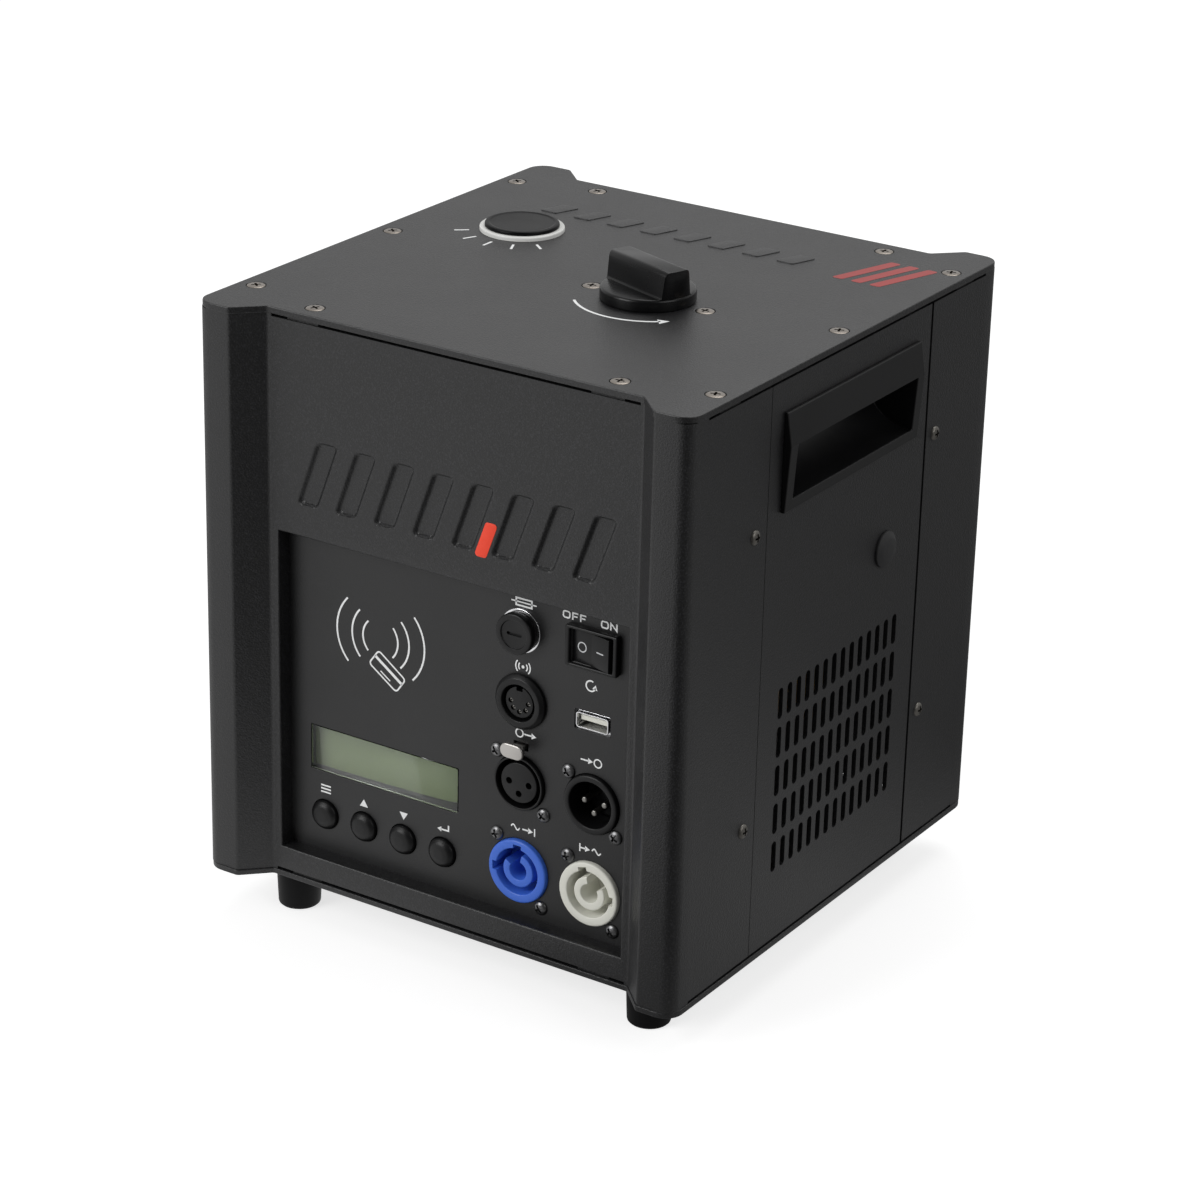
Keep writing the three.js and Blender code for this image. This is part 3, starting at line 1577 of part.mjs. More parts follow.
// Gear motor with its front face at x = 0 and its shaft on the side of positive x.
function feedMotor() {
  const shaftEnd = bracketThickness + gearGap + gearWidth + augerTail;
  const profile = [
    [0, -motorLength],
    [motorRearRadius, -motorLength],
    [motorRearRadius, motorRearLength - motorLength],
    [motorRadius, motorRearLength - motorLength],
    [motorRadius, 0],
    [motorBossRadius, 0],
    [motorBossRadius, motorBossLength],
    [motorShaftRadius, motorBossLength],
    [motorShaftRadius, shaftEnd],
    [0, shaftEnd],
  ];
  return turned(profile, "x", roundSides);
}

// Centrifugal blower with its axle along y. The duct rises on its left, up to the feed block.
function blowerHousing() {
  const ductLeft = -blowerOffset - blowerDuctWidth / 2;
  const ductRight = ductLeft + blowerDuctWidth;
  const ductTop = blockBottom - blowerZ;
  const half = blowerWidth / 2;
  const innerHalf = half - blowerWall;
  const outer = join(
    rod(blowerRadius, "y", -half, half, fineSides),
    block([ductLeft, ductRight], [-half, half], [0, ductTop]),
  );
  const inner = join(
    rod(blowerRadius - blowerWall, "y", -innerHalf, innerHalf, fineSides),
    block(
      [ductLeft + blowerWall, ductRight - blowerWall],
      [-innerHalf, innerHalf],
      [0, ductTop + overrun],
    ),
  );
  const inlet = rod(blowerInletRadius, "y", -half - overrun, 0, roundSides);
  const axle = rod(blowerAxleRadius, "y", impellerWidth / 2 - impellerHubLength, half - overlap, pinSides);
  return join(cut(outer, inner, inlet), axle);
}

// The impeller: a plate with a hub, a ring of blades and a front ring that ties their tips.
function blowerImpeller() {
  const back = impellerWidth / 2;
  const plate = rod(impellerRadius, "y", back - impellerPlate, back, roundSides);
  const hub = rod(impellerHubRadius, "y", back - impellerHubLength, back, smallSides);
  const front = ring(
    impellerRadius,
    impellerRadius - impellerRingWidth,
    "y",
    -back,
    impellerPlate - back,
    roundSides,
  );
  const blade = block(
    [impellerRadius - impellerBladeDepth, impellerRadius - impellerBladeThickness],
    [impellerPlate / 2 - back, back - impellerPlate / 2],
    [-impellerBladeThickness / 2, impellerBladeThickness / 2],
  );
  const blades = Array.from({ length: impellerBlades }, (_, i) =>
    blade.rotate([0, (fullTurn * i) / impellerBlades, 0]),
  );
  const bore = rod(blowerAxleRadius + seatGap, "y", -back, back + overrun, pinSides);
  return cut(join(plate, hub, front, ...blades), bore);
}

// Cooling fan frame: a square with a round duct, and struts that hold the motor's plate.
// The frame's outer side is at x = 0 and lies against the side panel.
function fanFrame() {
  const outline = roundedRectangle(0, 0, fanSize, fanSize, fanCorner, fanCornerSteps);
  const frame = extruded(outline, "x", 0, fanDepth);
  const bore = rod(fanBoreRadius, "x", -overrun, fanDepth + overrun, fineSides);
  const plate = rod(fanHubRadius, "x", fanDepth - fanHubPlate, fanDepth, roundSides);
  const strut = block(
    [fanDepth - fanHubPlate, fanDepth],
    [fanHubRadius - overlap, fanBoreRadius + overlap],
    [-fanStrutWidth / 2, fanStrutWidth / 2],
  );
  const struts = Array.from({ length: fanStruts }, (_, i) =>
    strut.rotate([fanStrutAngle + (fullTurn * i) / fanStruts, 0, 0]),
  );
  const pinStart = fanDepth - fanHubPlate - fanHubDepth / 2;
  const pin = rod(fanPinRadius, "x", pinStart, fanDepth - overlap, pinSides);
  return join(cut(frame, bore), plate, ...struts, pin);
}

// Fan rotor: a hub with pitched blades that widen and sweep forward to their tips.
function fanRotor() {
  const back = fanDepth - fanHubPlate - fanRunningGap;
  const front = back - fanHubDepth;
  const middle = (front + back) / 2;
  const hub = rod(fanHubRadius, "x", front, back, roundSides);
  const root = fanHubRadius - overlap;
  const tip = fanBladeRadius + overrun;
  const outline = polygon([
    [root, -fanBladeRootWidth / 2],
    [tip, fanBladeSweep - fanBladeTipWidth / 2],
    [tip, fanBladeSweep + fanBladeTipWidth / 2],
    [root, fanBladeRootWidth / 2],
  ]);
  const flat = extruded(outline, "x", -fanBladeThickness / 2, fanBladeThickness / 2);
  const pitched = moved(flat.rotate([0, fanBladePitch, 0]), middle, 0, 0);
  const blade = pitched.intersect(rod(fanBladeRadius, "x", front, back, fineSides));
  const blades = Array.from({ length: fanBlades }, (_, i) =>
    blade.rotate([(fullTurn * i) / fanBlades, 0, 0]),
  );
  const boreStart = front + fanHubDepth / 2 - overlap;
  const bore = rod(fanPinRadius + seatGap, "x", boreStart, back + overrun, pinSides);
  return cut(join(hub, ...blades), bore);
}

// Power supply with a low shelf for its terminals at the right end.
function powerSupply() {
  const outline = polygon([
    [-supplyWidth / 2, 0],
    [supplyWidth / 2, 0],
    [supplyWidth / 2, supplyShelfHeight],
    [supplyWidth / 2 - supplyShelfWidth, supplyShelfHeight],
    [supplyWidth / 2 - supplyShelfWidth, supplyHeight],
    [-supplyWidth / 2, supplyHeight],
  ]);
  return extruded(outline, "y", -supplyDepth, 0);
}

// The coil's driver board stands off the rear shell and carries a finned heat sink.
function driverBoard() {
  const boardBack = -driverSetback;
  const boardFront = boardBack - boardThickness;
  const sinkBack = boardFront - sinkBase;
  const fins = Array.from({ length: sinkFins }, (_, i) => {
    const x = -sinkWidth / 2 + (i * (sinkWidth - sinkFinThickness)) / (sinkFins - 1);
    return block(
      [x, x + sinkFinThickness],
      [sinkBack - sinkFinDepth, sinkBack + overlap],
      [-sinkHeight / 2, sinkHeight / 2],
    );
  });
  return join(
    extruded(rectangle(0, 0, driverWidth, driverHeight), "y", boardFront, boardBack),
    extruded(rectangle(0, 0, sinkWidth, sinkHeight), "y", sinkBack, boardFront + overlap),
    ...standoffs(driverWidth, driverHeight, boardBack - overlap, 0),
    ...fins,
  );
}

// Finishes, from the photograph
const powderCoat = { color: 0x33343a, roughness: 0.62, metalness: 0.1 };
const panelCoat = { color: 0x3a3b3d, roughness: 0.7, metalness: 0.1 };
const blackPlastic = { color: 0x17181a, roughness: 0.45, metalness: 0 };
const glossPlastic = { color: 0x101114, roughness: 0.22, metalness: 0 };
const rubber = { color: 0x141414, roughness: 0.85, metalness: 0 };
const brightMetal = { color: 0xb9bcbe, roughness: 0.3, metalness: 1 };
const whiteCeramic = { color: 0xe6e7e4, roughness: 0.5, metalness: 0 };
const boardGreen = { color: 0x1f5a3c, roughness: 0.55, metalness: 0 };
const blueMoulding = { color: 0x2f6fd6, roughness: 0.4, metalness: 0 };
const greyMoulding = { color: 0xdfe1df, roughness: 0.45, metalness: 0 };
const clearLens = { color: 0xc9d2c4, roughness: 0.1, metalness: 0, transparent: true, opacity: 0.4 };
const copper = { color: 0xb9734a, roughness: 0.35, metalness: 1 };
const steel = { color: 0x8b8e92, roughness: 0.4, metalness: 1 };
const brass = { color: 0xb59a55, roughness: 0.35, metalness: 1 };
const fuseGlass = { color: 0xd5d8d6, roughness: 0.2, metalness: 0.4 };

function piece(parent, name, solid, look, x, y, z) {
  const mesh = new THREE.Mesh(geometryOf(solid), new THREE.MeshStandardMaterial(look));
  mesh.name = name;
  mesh.position.set(x, y, z);
  parent.add(mesh);
  return mesh;
}

function placedGroup(parent, x, y, z) {
  const group = new THREE.Group();
  group.position.set(x, y, z);
  parent.add(group);
  return group;
}

const machine = new THREE.Group();

// Case
piece(machine, "base_plate", basePlate(), powderCoat, 0, 0, footHeight);
const walls = placedGroup(machine, 0, 0, basePlateTop);
const frontWall = placedGroup(walls, 0, 0, 0);
frontWall.rotation.z = Math.PI;
piece(frontWall, "front_shell", frontShell(), powderCoat, 0, 0, 0);
piece(walls, "rear_shell", shell(rearSeam), powderCoat, 0, 0, 0);
for (const [depthName, toBack] of [["front", -1], ["rear", 1]]) {
  for (const [sideName, toRight] of [["left", -1], ["right", 1]]) {
    const x = toRight * (bodyWidth / 2 - footInsetX);
    const y = toBack * (bodyDepth / 2 - footInsetY);
    piece(machine, `rubber_foot_${depthName}_${sideName}`, rubberFoot(), rubber, x, y, 0);
  }
}

// Both sides have the same pieces, and those of the left side are turned half round.
for (const [sideName, toRight] of [["right", 1], ["left", -1]]) {
  const side = placedGroup(walls, toRight * sideFace, 0, 0);
  side.rotation.z = toRight > 0 ? 0 : Math.PI;
  piece(side, `side_panel_${sideName}`, sidePanel(), powderCoat, 0, 0, 0);
  piece(side, `side_handle_${sideName}`, sideHandle(), blackPlastic, 0, 0, 0);
  piece(side, `hole_plug_${sideName}`, holePlug(), rubber, 0, plugForward, plugRise);
}

// Control panel and what it carries
const panel = placedGroup(walls, 0, -panelFace, 0);
piece(panel, "control_panel", controlPanel(), panelCoat, 0, 0, 0);
piece(panel, "display_window", displayWindow(), clearLens, windowX, 0, windowRise);
piece(panel, "display_module", displayModule(), boardGreen, windowX, 0, windowRise);
piece(panel, "control_board", controlBoard(), boardGreen, 0, 0, 0);
piece(panel, "card_reader_board", cardReaderBoard(), boardGreen, cardBoardX, 0, cardBoardRise);
buttonNames.forEach((name, i) => {
  piece(panel, `button_${name}`, pushButton(), blackPlastic, buttonX(i), 0, buttonRise);
});
piece(panel, "fuse_ring", fuseRing(), brightMetal, fuseX, 0, fuseRise);
piece(panel, "fuse_holder", fuseHolder(), blackPlastic, fuseX, 0, fuseRise);
piece(panel, "fuse_cap", fuseCap(), blackPlastic, fuseX, 0, fuseRise);
piece(panel, "fuse_link", fuseLink(), fuseGlass, fuseX, 0, fuseRise);
piece(panel, "switch_frame", switchFrame(), blackPlastic, switchX, 0, switchRise);
const rockerPivot = placedGroup(panel, switchX, -rockerPivotProud, switchRise);
rockerPivot.rotation.z = -THREE.MathUtils.degToRad(rockerThrow / 2);
piece(rockerPivot, "power_rocker", powerRocker(), glossPlastic, 0, 0, 0);
piece(panel, "receiver_socket", receiverSocket(), blackPlastic, receiverX, 0, receiverRise);
piece(panel, "usb_shell", usbShell(), brightMetal, usbX, 0, usbRise);
piece(panel, "usb_tongue", usbTongue(), greyMoulding, usbX, 0, usbRise);
piece(panel, "signal_out_socket", signalOutSocket(), blackPlastic, signalOutX, 0, signalOutRise);
const latchZ = signalOutRise + latchRise;
piece(panel, "signal_out_latch", signalOutLatch(), steel, signalOutX, 0, latchZ);
piece(panel, "signal_in_shell", signalInShell(), blackPlastic, signalInX, 0, signalInRise);
piece(panel, "signal_in_insert", signalInInsert(), brightMetal, signalInX, 0, signalInRise);
const inlet = powerConnector(powerInNotchAngles, powerInGap);
const outlet = powerConnector(powerOutNotchAngles, powerOutGap);
piece(panel, "power_inlet", inlet, blueMoulding, powerInX, 0, powerRise);
piece(panel, "power_outlet", outlet, greyMoulding, powerOutX, 0, powerRise);

// Top plate, filler and outlet
const top = placedGroup(machine, 0, 0, topPlateTop);
piece(top, "top_plate", topPlate(), powderCoat, 0, 0, 0);
const filler = placedGroup(top, fillerX, fillerY, 0);
filler.rotation.z = THREE.MathUtils.degToRad(gripAngle);
piece(filler, "filler_neck", fillerNeck(), steel, 0, 0, 0);
piece(filler, "filler_seal", fillerSeal(), rubber, 0, 0, 0);
piece(filler, "filler_cap", fillerCap(), glossPlastic, 0, 0, 0);
piece(top, "outlet_ring", outletRing(), whiteCeramic, outletX, outletY, 0);
piece(top, "outlet_cap", outletCap(), glossPlastic, outletX, outletY, 0);
piece(machine, "hopper", hopper(), steel, 0, 0, 0);

// Heated tube
piece(machine, "spark_tube", sparkTube(), steel, outletX, outletY, 0);
piece(machine, "ceramic_sleeve", ceramicSleeve(), whiteCeramic, outletX, outletY, 0);
piece(machine, "induction_coil", inductionCoil(), copper, outletX, outletY, 0);

// Feed screw and its drive
piece(machine, "feed_housing", feedHousing(), steel, 0, 0, 0);
const screwAxis = placedGroup(machine, 0, outletY, feedZ);
piece(screwAxis, "feed_auger", feedAuger(), steel, 0, 0, 0);
const augerGear = spurGear(augerGearTeeth, augerShaftRadius, pinSides, screwToMotorAngle);
piece(screwAxis, "auger_gear", augerGear, brass, gearStart, 0, 0);
const motorAxis = placedGroup(machine, bracketX, outletY, motorZ);
const pinionPhase = screwToMotorAngle - halfTurn + halfTurn / pinionTeeth;
const pinion = spurGear(pinionTeeth, motorShaftRadius, roundSides, pinionPhase);
piece(motorAxis, "motor_pinion", pinion, brass, gearStart - bracketX, 0, 0);
piece(motorAxis, "feed_motor", feedMotor(), steel, 0, 0, 0);
piece(machine, "motor_bracket", motorBracket(), steel, bracketX, outletY, 0);

// Air and electronics
const blower = placedGroup(machine, blowerX, outletY, blowerZ);
piece(blower, "blower_housing", blowerHousing(), blackPlastic, 0, 0, 0);
piece(blower, "blower_impeller", blowerImpeller(), blackPlastic, 0, 0, 0);
const fan = placedGroup(walls, sheet - sideFace, 0, ventRise);
piece(fan, "fan_frame", fanFrame(), blackPlastic, 0, 0, 0);
piece(fan, "fan_rotor", fanRotor(), blackPlastic, 0, 0, 0);
piece(walls, "power_supply", powerSupply(), steel, 0, supplyFront + supplyDepth, 0);
const driverZ = driverRise + driverHeight / 2;
piece(walls, "driver_board", driverBoard(), boardGreen, 0, recessFace - sheet, driverZ);

export default machine;
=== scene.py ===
"""A cold spark machine: a powder coated sheet metal case with a control panel in front, pocket
handles and vents in the sides, and a filler cap and a spark outlet on top.
Sizes are in millimetres until a mesh is made. X runs to the right, Y to the back and Z up."""

import math

import bmesh
import bpy
from mathutils import Matrix, Vector
from mathutils.geometry import tessellate_polygon


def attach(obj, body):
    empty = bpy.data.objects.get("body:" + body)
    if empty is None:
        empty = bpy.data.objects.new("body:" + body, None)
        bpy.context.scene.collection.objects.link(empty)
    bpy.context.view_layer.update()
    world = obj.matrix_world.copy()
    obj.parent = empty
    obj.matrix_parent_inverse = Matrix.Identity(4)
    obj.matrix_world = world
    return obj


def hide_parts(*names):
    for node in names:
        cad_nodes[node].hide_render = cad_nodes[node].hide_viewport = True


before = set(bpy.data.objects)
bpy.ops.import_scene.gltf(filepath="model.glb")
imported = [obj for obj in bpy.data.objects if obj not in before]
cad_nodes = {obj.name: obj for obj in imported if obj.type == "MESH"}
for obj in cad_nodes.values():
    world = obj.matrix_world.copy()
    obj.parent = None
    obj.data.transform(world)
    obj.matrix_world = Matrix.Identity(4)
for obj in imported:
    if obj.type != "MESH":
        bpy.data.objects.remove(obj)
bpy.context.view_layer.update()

# Plates
# The top plate and the base plate are cut from steel sheet to one outline, with an ear at each
# corner, and powder coated black with a fine grain. Countersunk screws hold them to the shells.
MM = 0.001
PLATE_HALF_WIDTH = 101.0
PLATE_HALF_DEPTH = 106.0
EAR_FRONT = 14.6
EAR_DEPTH = 9.6
EAR_RADIUS = 9.5
BEND_RADIUS = 2.0
BASE_Z = (17.8, 20.0)
TOP_Z = (233.3, 235.8)
PLATE_EDGE = 0.35
FILLER = (23.0, -9.75)
OUTLET = (-57.4, 30.4)
NECK_HOLE = 15.0
TUBE_HOLE = 11.3
SIDE_SCREW_X = 94.0
SIDE_SCREW_Y = 80.5
FACE_SCREW = (62.3, 88.3)
NECK_SCREW_REACH = 23.4
COUNTERSINK = 3.55


def linear(red, green, blue):
    """A colour as it is seen, 0 to 255, as Blender's linear colour."""
    channels = [value / 255 for value in (red, green, blue)]
    return (*(c / 12.92 if c < 0.04045 else ((c + 0.055) / 1.055) ** 2.4 for c in channels), 1.0)


def rounded(points, radius=0.0, closed=True, steps=3):
    """Corners (u, v) or (u, v, own radius) with each corner drawn as an arc."""
    drawn = []
    for i, corner in enumerate(points):
        here = Vector(corner[:2])
        bend = corner[2] if len(corner) > 2 else radius
        if bend <= 0 or (not closed and i in (0, len(points) - 1)):
            drawn.append(tuple(here))
            continue
        before = Vector(points[i - 1][:2]) - here
        after = Vector(points[(i + 1) % len(points)][:2]) - here
        opening = before.angle(after)
        if opening > math.radians(176):
            drawn.append(tuple(here))
            continue
        reach = min(bend / math.tan(opening / 2), 0.48 * min(before.length, after.length))
        bend = reach * math.tan(opening / 2)
        before.normalize()
        after.normalize()
        middle = here + (before + after).normalized() * (bend / math.sin(opening / 2))
        start = here + before * reach - middle
        end = here + after * reach - middle
        first = math.atan2(start.y, start.x)
        sweep = (math.atan2(end.y, end.x) - first + math.pi) % (2 * math.pi) - math.pi
        count = max(steps, math.ceil(abs(sweep) * math.sqrt(bend) * 1.6))
        for k in range(count + 1):
            angle = first + sweep * k / count
            drawn.append((middle.x + bend * math.cos(angle), middle.y + bend * math.sin(angle)))
    return drawn


def circle(u, v, radius, sides=48):
    turns = [2 * math.pi * k / sides for k in range(sides)]
    return [(u + radius * math.cos(a), v + radius * math.sin(a)) for a in turns]


def box_outline(u, v, width, height, radius=0.0, steps=3):
    corners = [(-1, -1), (1, -1), (1, 1), (-1, 1)]
    return rounded([(u + a * width / 2, v + b * height / 2) for a, b in corners], radius, steps=steps)


def inset(loop, distance):
    """A closed loop moved to its own left, with mitred corners."""
    moved = []
    for i, point in enumerate(loop):
        here = Vector(point)
        came = (here - Vector(loop[i - 1])).normalized()
        goes = (Vector(loop[(i + 1) % len(loop)]) - here).normalized()
        left = Vector((-came.y, came.x))
        mitre = (left + Vector((-goes.y, goes.x))).normalized()
        moved.append(tuple(here + mitre * distance / max(mitre.dot(left), 0.4)))
    return moved


def area_of(loop):
    return sum(a[0] * b[1] - b[0] * a[1] for a, b in zip(loop, loop[1:] + loop[:1])) / 2


def towards(axis, u, v, w):
    """A flat outline's u and v and its depth w, drawn across the named axis."""
    return {"x": (w, u, v), "y": (u, w, v), "z": (u, v, w)}[axis]


def plate(axis, outline, holes, low, high, edge=0.3, steps=2):
    """An outline with holes, drawn out along an axis, with eased edges."""
    loops = [outline if area_of(outline) > 0 else outline[::-1]]
    loops += [hole if area_of(hole) < 0 else hole[::-1] for hole in holes]
    arc = [math.pi / 2 * k / steps for k in range(steps + 1)] if edge > 0 else [math.pi / 2]
    rims = [(edge * (1 - math.sin(a)), low + edge * (1 - math.cos(a))) for a in arc]
    rims += [(across, high - (depth - low)) for across, depth in reversed(rims)]
    verts, faces = [], []
    starts = []
    for loop in loops:
        starts.append(len(verts))
        for across, depth in rims:
            verts += [towards(axis, u, v, depth) for u, v in inset(loop, across)]
        for row in range(len(rims) - 1):
            base = starts[-1] + row * len(loop)
            for i in range(len(loop)):
                j = (i + 1) % len(loop)
                faces.append((base + i, base + j, base + j + len(loop), base + i + len(loop)))
    for row in (0, len(rims) - 1):
        flat = [[Vector((*p, 0)) for p in inset(loop, rims[row][0])] for loop in loops]
        places = [s + row * len(loop) + i for s, loop in zip(starts, loops) for i in range(len(loop))]
        faces += [tuple(places[i] for i in corner) for corner in tessellate_polygon(flat)]
    return verts, faces


def linked(name, data):
    """A new object in the scene."""
    made = bpy.data.objects.new(name, data)
    bpy.context.scene.collection.objects.link(made)
    return made


def meshed(name, parts):
    """A mesh in metres from (vertices, faces) parts in millimetres."""
    verts, faces = [], []
    for part_verts, part_faces in parts:
        faces += [tuple(i + len(verts) for i in face) for face in part_faces]
        verts += part_verts
    mesh = bpy.data.meshes.new(name)
    mesh.from_pydata([[c * MM for c in v] for v in verts], [], faces)
    return mesh


def piece(name, parts, finish, body="machine", instead=(), sharp=32, work=None):
    """One finished piece from its parts, riding on its body."""
    made = linked(name, meshed(name, parts))
    face_out(made.data)
    if work:
        work(made)
        plain(made)
    return dressed(made, finish, body, instead, sharp)


def face_out(mesh, near=1e-6):
    bm = bmesh.new()
    bm.from_mesh(mesh)
    bmesh.ops.remove_doubles(bm, verts=bm.verts, dist=near)
    bmesh.ops.recalc_face_normals(bm, faces=bm.faces)
    bm.to_mesh(mesh)
    bm.free()


def plain(made):
    """The object's modifiers become its mesh."""
    bpy.context.view_layer.update()
    seen = made.evaluated_get(bpy.context.evaluated_depsgraph_get())
    mesh = bpy.data.meshes.new_from_object(seen)
    made.modifiers.clear()
    made.data = mesh


def dressed(made, finish, body, instead=(), sharp=32):
    made.data.materials.clear()
    made.data.materials.append(finish)
    made.data.shade_smooth()
    made.data.set_sharp_from_angle(angle=math.radians(sharp))
    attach(made, body)
    if instead:
        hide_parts(*instead)
    return made


def node_group(name, inputs, outputs):
    """An empty shader group with named sockets, each (name, kind, default)."""
    group = bpy.data.node_groups.new(name, "ShaderNodeTree")
    for label, kind, value in inputs:
        socket = group.interface.new_socket(label, in_out="INPUT", socket_type="NodeSocket" + kind)
        socket.default_value = value
    for label, kind in outputs:
        group.interface.new_socket(label, in_out="OUTPUT", socket_type="NodeSocket" + kind)
    return group, group.nodes.new("NodeGroupInput"), group.nodes.new("NodeGroupOutput")


def add(tree, kind, links=(), **settings):
    """A node with its settings, fed by (socket, value) pairs. A value may be another node, for its
    first output, or one of its outputs."""
    node = tree.nodes.new(kind)
    for key, value in settings.items():
        setattr(node, key, value)
    for socket, value in links:
        if isinstance(value, (bpy.types.Node, bpy.types.NodeSocket)):
            feed(tree, node.inputs[socket], value)
        else:
            node.inputs[socket].default_value = value
    return node


def feed(tree, target, *sources):
    """Links nodes, by their first outputs, or outputs into a socket."""
    for source in sources:
        tree.links.new(getattr(source, "outputs", [source])[0], target)


def calc(tree, operation, *values):
    """A Math node with its values."""
    return add(tree, "ShaderNodeMath", enumerate(values), operation=operation)


# The grain of a coat or a moulding: a fine height, a soft tone and a wide cloud of handling marks.
grain_group, came_in, goes_out = node_group(
    "surface_grain", [("Size", "Float", 0.0005), ("Cells", "Float", 0.4), ("Spread", "Float", 0.03)],
    [("Height", "Float"), ("Tone", "Float"), ("Cloud", "Float")]
)
place = add(grain_group, "ShaderNodeTexCoord")
fine = calc(grain_group, "DIVIDE", 1.0, came_in.outputs["Size"])
wide = calc(grain_group, "DIVIDE", 1.0, came_in.outputs["Spread"])
specks = add(
    grain_group, "ShaderNodeTexNoise",
    [("Vector", place.outputs["Object"]), ("Scale", fine), ("Detail", 2.0), ("Roughness", 0.6)]
)
cells = add(
    grain_group, "ShaderNodeTexVoronoi", [("Vector", place.outputs["Object"]), ("Scale", fine)],
    feature="SMOOTH_F1"
)
clouds = add(
    grain_group, "ShaderNodeTexNoise",
    [("Vector", place.outputs["Object"]), ("Scale", wide), ("Detail", 4.0), ("Roughness", 0.55)]
)
height = add(
    grain_group, "ShaderNodeMix",
    [(0, came_in.outputs["Cells"]), (2, specks.outputs["Fac"]), (3, cells.outputs["Distance"])]
)
for label, source in (("Height", height), ("Tone", specks), ("Cloud", clouds)):
    feed(grain_group, goes_out.inputs[label], source)


def finish(
    name, dark, light, rough, grain=0.0005, cells=0.4, depth=0.00004, spread=0.03, flecks=None, **constant
):
    """A procedural finish between two colours and two roughnesses, with its own grain."""
    material = bpy.data.materials.new(name)
    material.use_nodes = True
    tree = material.node_tree
    shader = tree.nodes["Principled BSDF"]
    texture = add(tree, "ShaderNodeGroup", node_tree=grain_group)
    for label, value in (("Size", grain), ("Cells", cells), ("Spread", spread)):
        texture.inputs[label].default_value = value
    tone = add(
        tree, "ShaderNodeMix", [(0, texture.outputs["Cloud"]), (6, linear(*dark)), (7, linear(*light))],
        data_type="RGBA"
    )
    if flecks:
        peaks = add(
            tree, "ShaderNodeMapRange",
            [("Value", texture.outputs["Tone"]), ("From Min", 0.5), ("From Max", 0.68)]
        )
        tone = add(
            tree, "ShaderNodeMix", [(0, peaks), (6, tone.outputs[2]), (7, linear(*flecks))],
            data_type="RGBA"
        )
    gloss = add(
        tree, "ShaderNodeMapRange",
        [
            ("Value", texture.outputs["Cloud"]), ("From Min", 0.3), ("From Max", 0.7),
            ("To Min", rough[0]), ("To Max", rough[1])
        ]
    )
    bump = add(
        tree, "ShaderNodeBump",
        [("Height", texture.outputs["Height"]), ("Distance", depth), ("Strength", 1.0)]
    )
    for label, source in (("Base Color", tone.outputs[2]), ("Roughness", gloss), ("Normal", bump)):
        feed(tree, shader.inputs[label], source)
    for label, value in constant.items():
        shader.inputs[label.replace("_", " ")].default_value = value
    return material


powder_coat = finish(
    "powder_coat", (12, 12, 13), (15, 15, 16), (0.41, 0.44), 0.00055, 0.55, 0.00016, flecks=(36, 36, 38)
)


def plate_outline(z_screws):
    """The plate's outline and its countersunk holes."""
    foot = PLATE_HALF_WIDTH - EAR_FRONT - EAR_DEPTH
    corner = [
        (PLATE_HALF_WIDTH, PLATE_HALF_DEPTH, EAR_RADIUS),
        (foot + EAR_DEPTH, PLATE_HALF_DEPTH, BEND_RADIUS),
        (foot, PLATE_HALF_DEPTH - EAR_DEPTH, BEND_RADIUS)
    ]
    points = corner + [(-x, y, r) for x, y, r in reversed(corner)]
    points += [(-x, -y, r) for x, y, r in corner] + [(x, -y, r) for x, y, r in reversed(corner)]
    return rounded(points), [circle(x, y, COUNTERSINK, 24) for x, y in z_screws]


plate_screws = [(a * SIDE_SCREW_X, b * SIDE_SCREW_Y) for a in (-1, 1) for b in (-1, 0, 1)]
plate_screws += [(a * FACE_SCREW[0], b * FACE_SCREW[1]) for a in (-1, 1) for b in (-1, 1)]
neck_screws = [(FILLER[0] + a * NECK_SCREW_REACH, FILLER[1]) for a in (-1, 1)]
outline, sinks = plate_outline(plate_screws + neck_screws)
top_holes = sinks + [circle(*OUTLET, TUBE_HOLE, 64), circle(*FILLER, NECK_HOLE, 64)]
piece(
    "top_plate_sheet", [plate("z", outline, top_holes, *TOP_Z, PLATE_EDGE)], powder_coat,
    instead=["top_plate"], sharp=20
)
outline, sinks = plate_outline(plate_screws)
piece(
    "base_plate_sheet", [plate("z", outline, sinks, *BASE_Z, PLATE_EDGE)], powder_coat,
    instead=["base_plate"], sharp=20
)

# Shells
# The front and the rear are one folded sheet each: a recessed face between two round ears, and
# two sides up to a seam. The front one has the panel opening, with its edges folded back, and a
# pressed row of slanted bars. Tabs folded in at both ends take the screws of the plates.
SHEET = 1.5
SHELL_Z = (20.0, 233.3)
RELIEF = 1.0
SHELL_INSET = 0.4
FRONT_SEAM = 55.0
REAR_SEAM = 56.1
OPENING = (73.4, 29.8, 153.5)
OPENING_BEND = 0.7
PANEL_Y = -89.4
FACE_Y = -96.0
BAR_SIZE = (7.4, 24.0)
BAR_COUNT = 8
BAR_SPAN = (-56.0, 59.0)
BAR_Z = 178.0
BAR_SLANT = math.radians(20)
BAR_HEIGHT = -1.3
BAR_RAMP = 1.3
BAR_RADIUS = 1.6
PRESS_STEP = 0.5


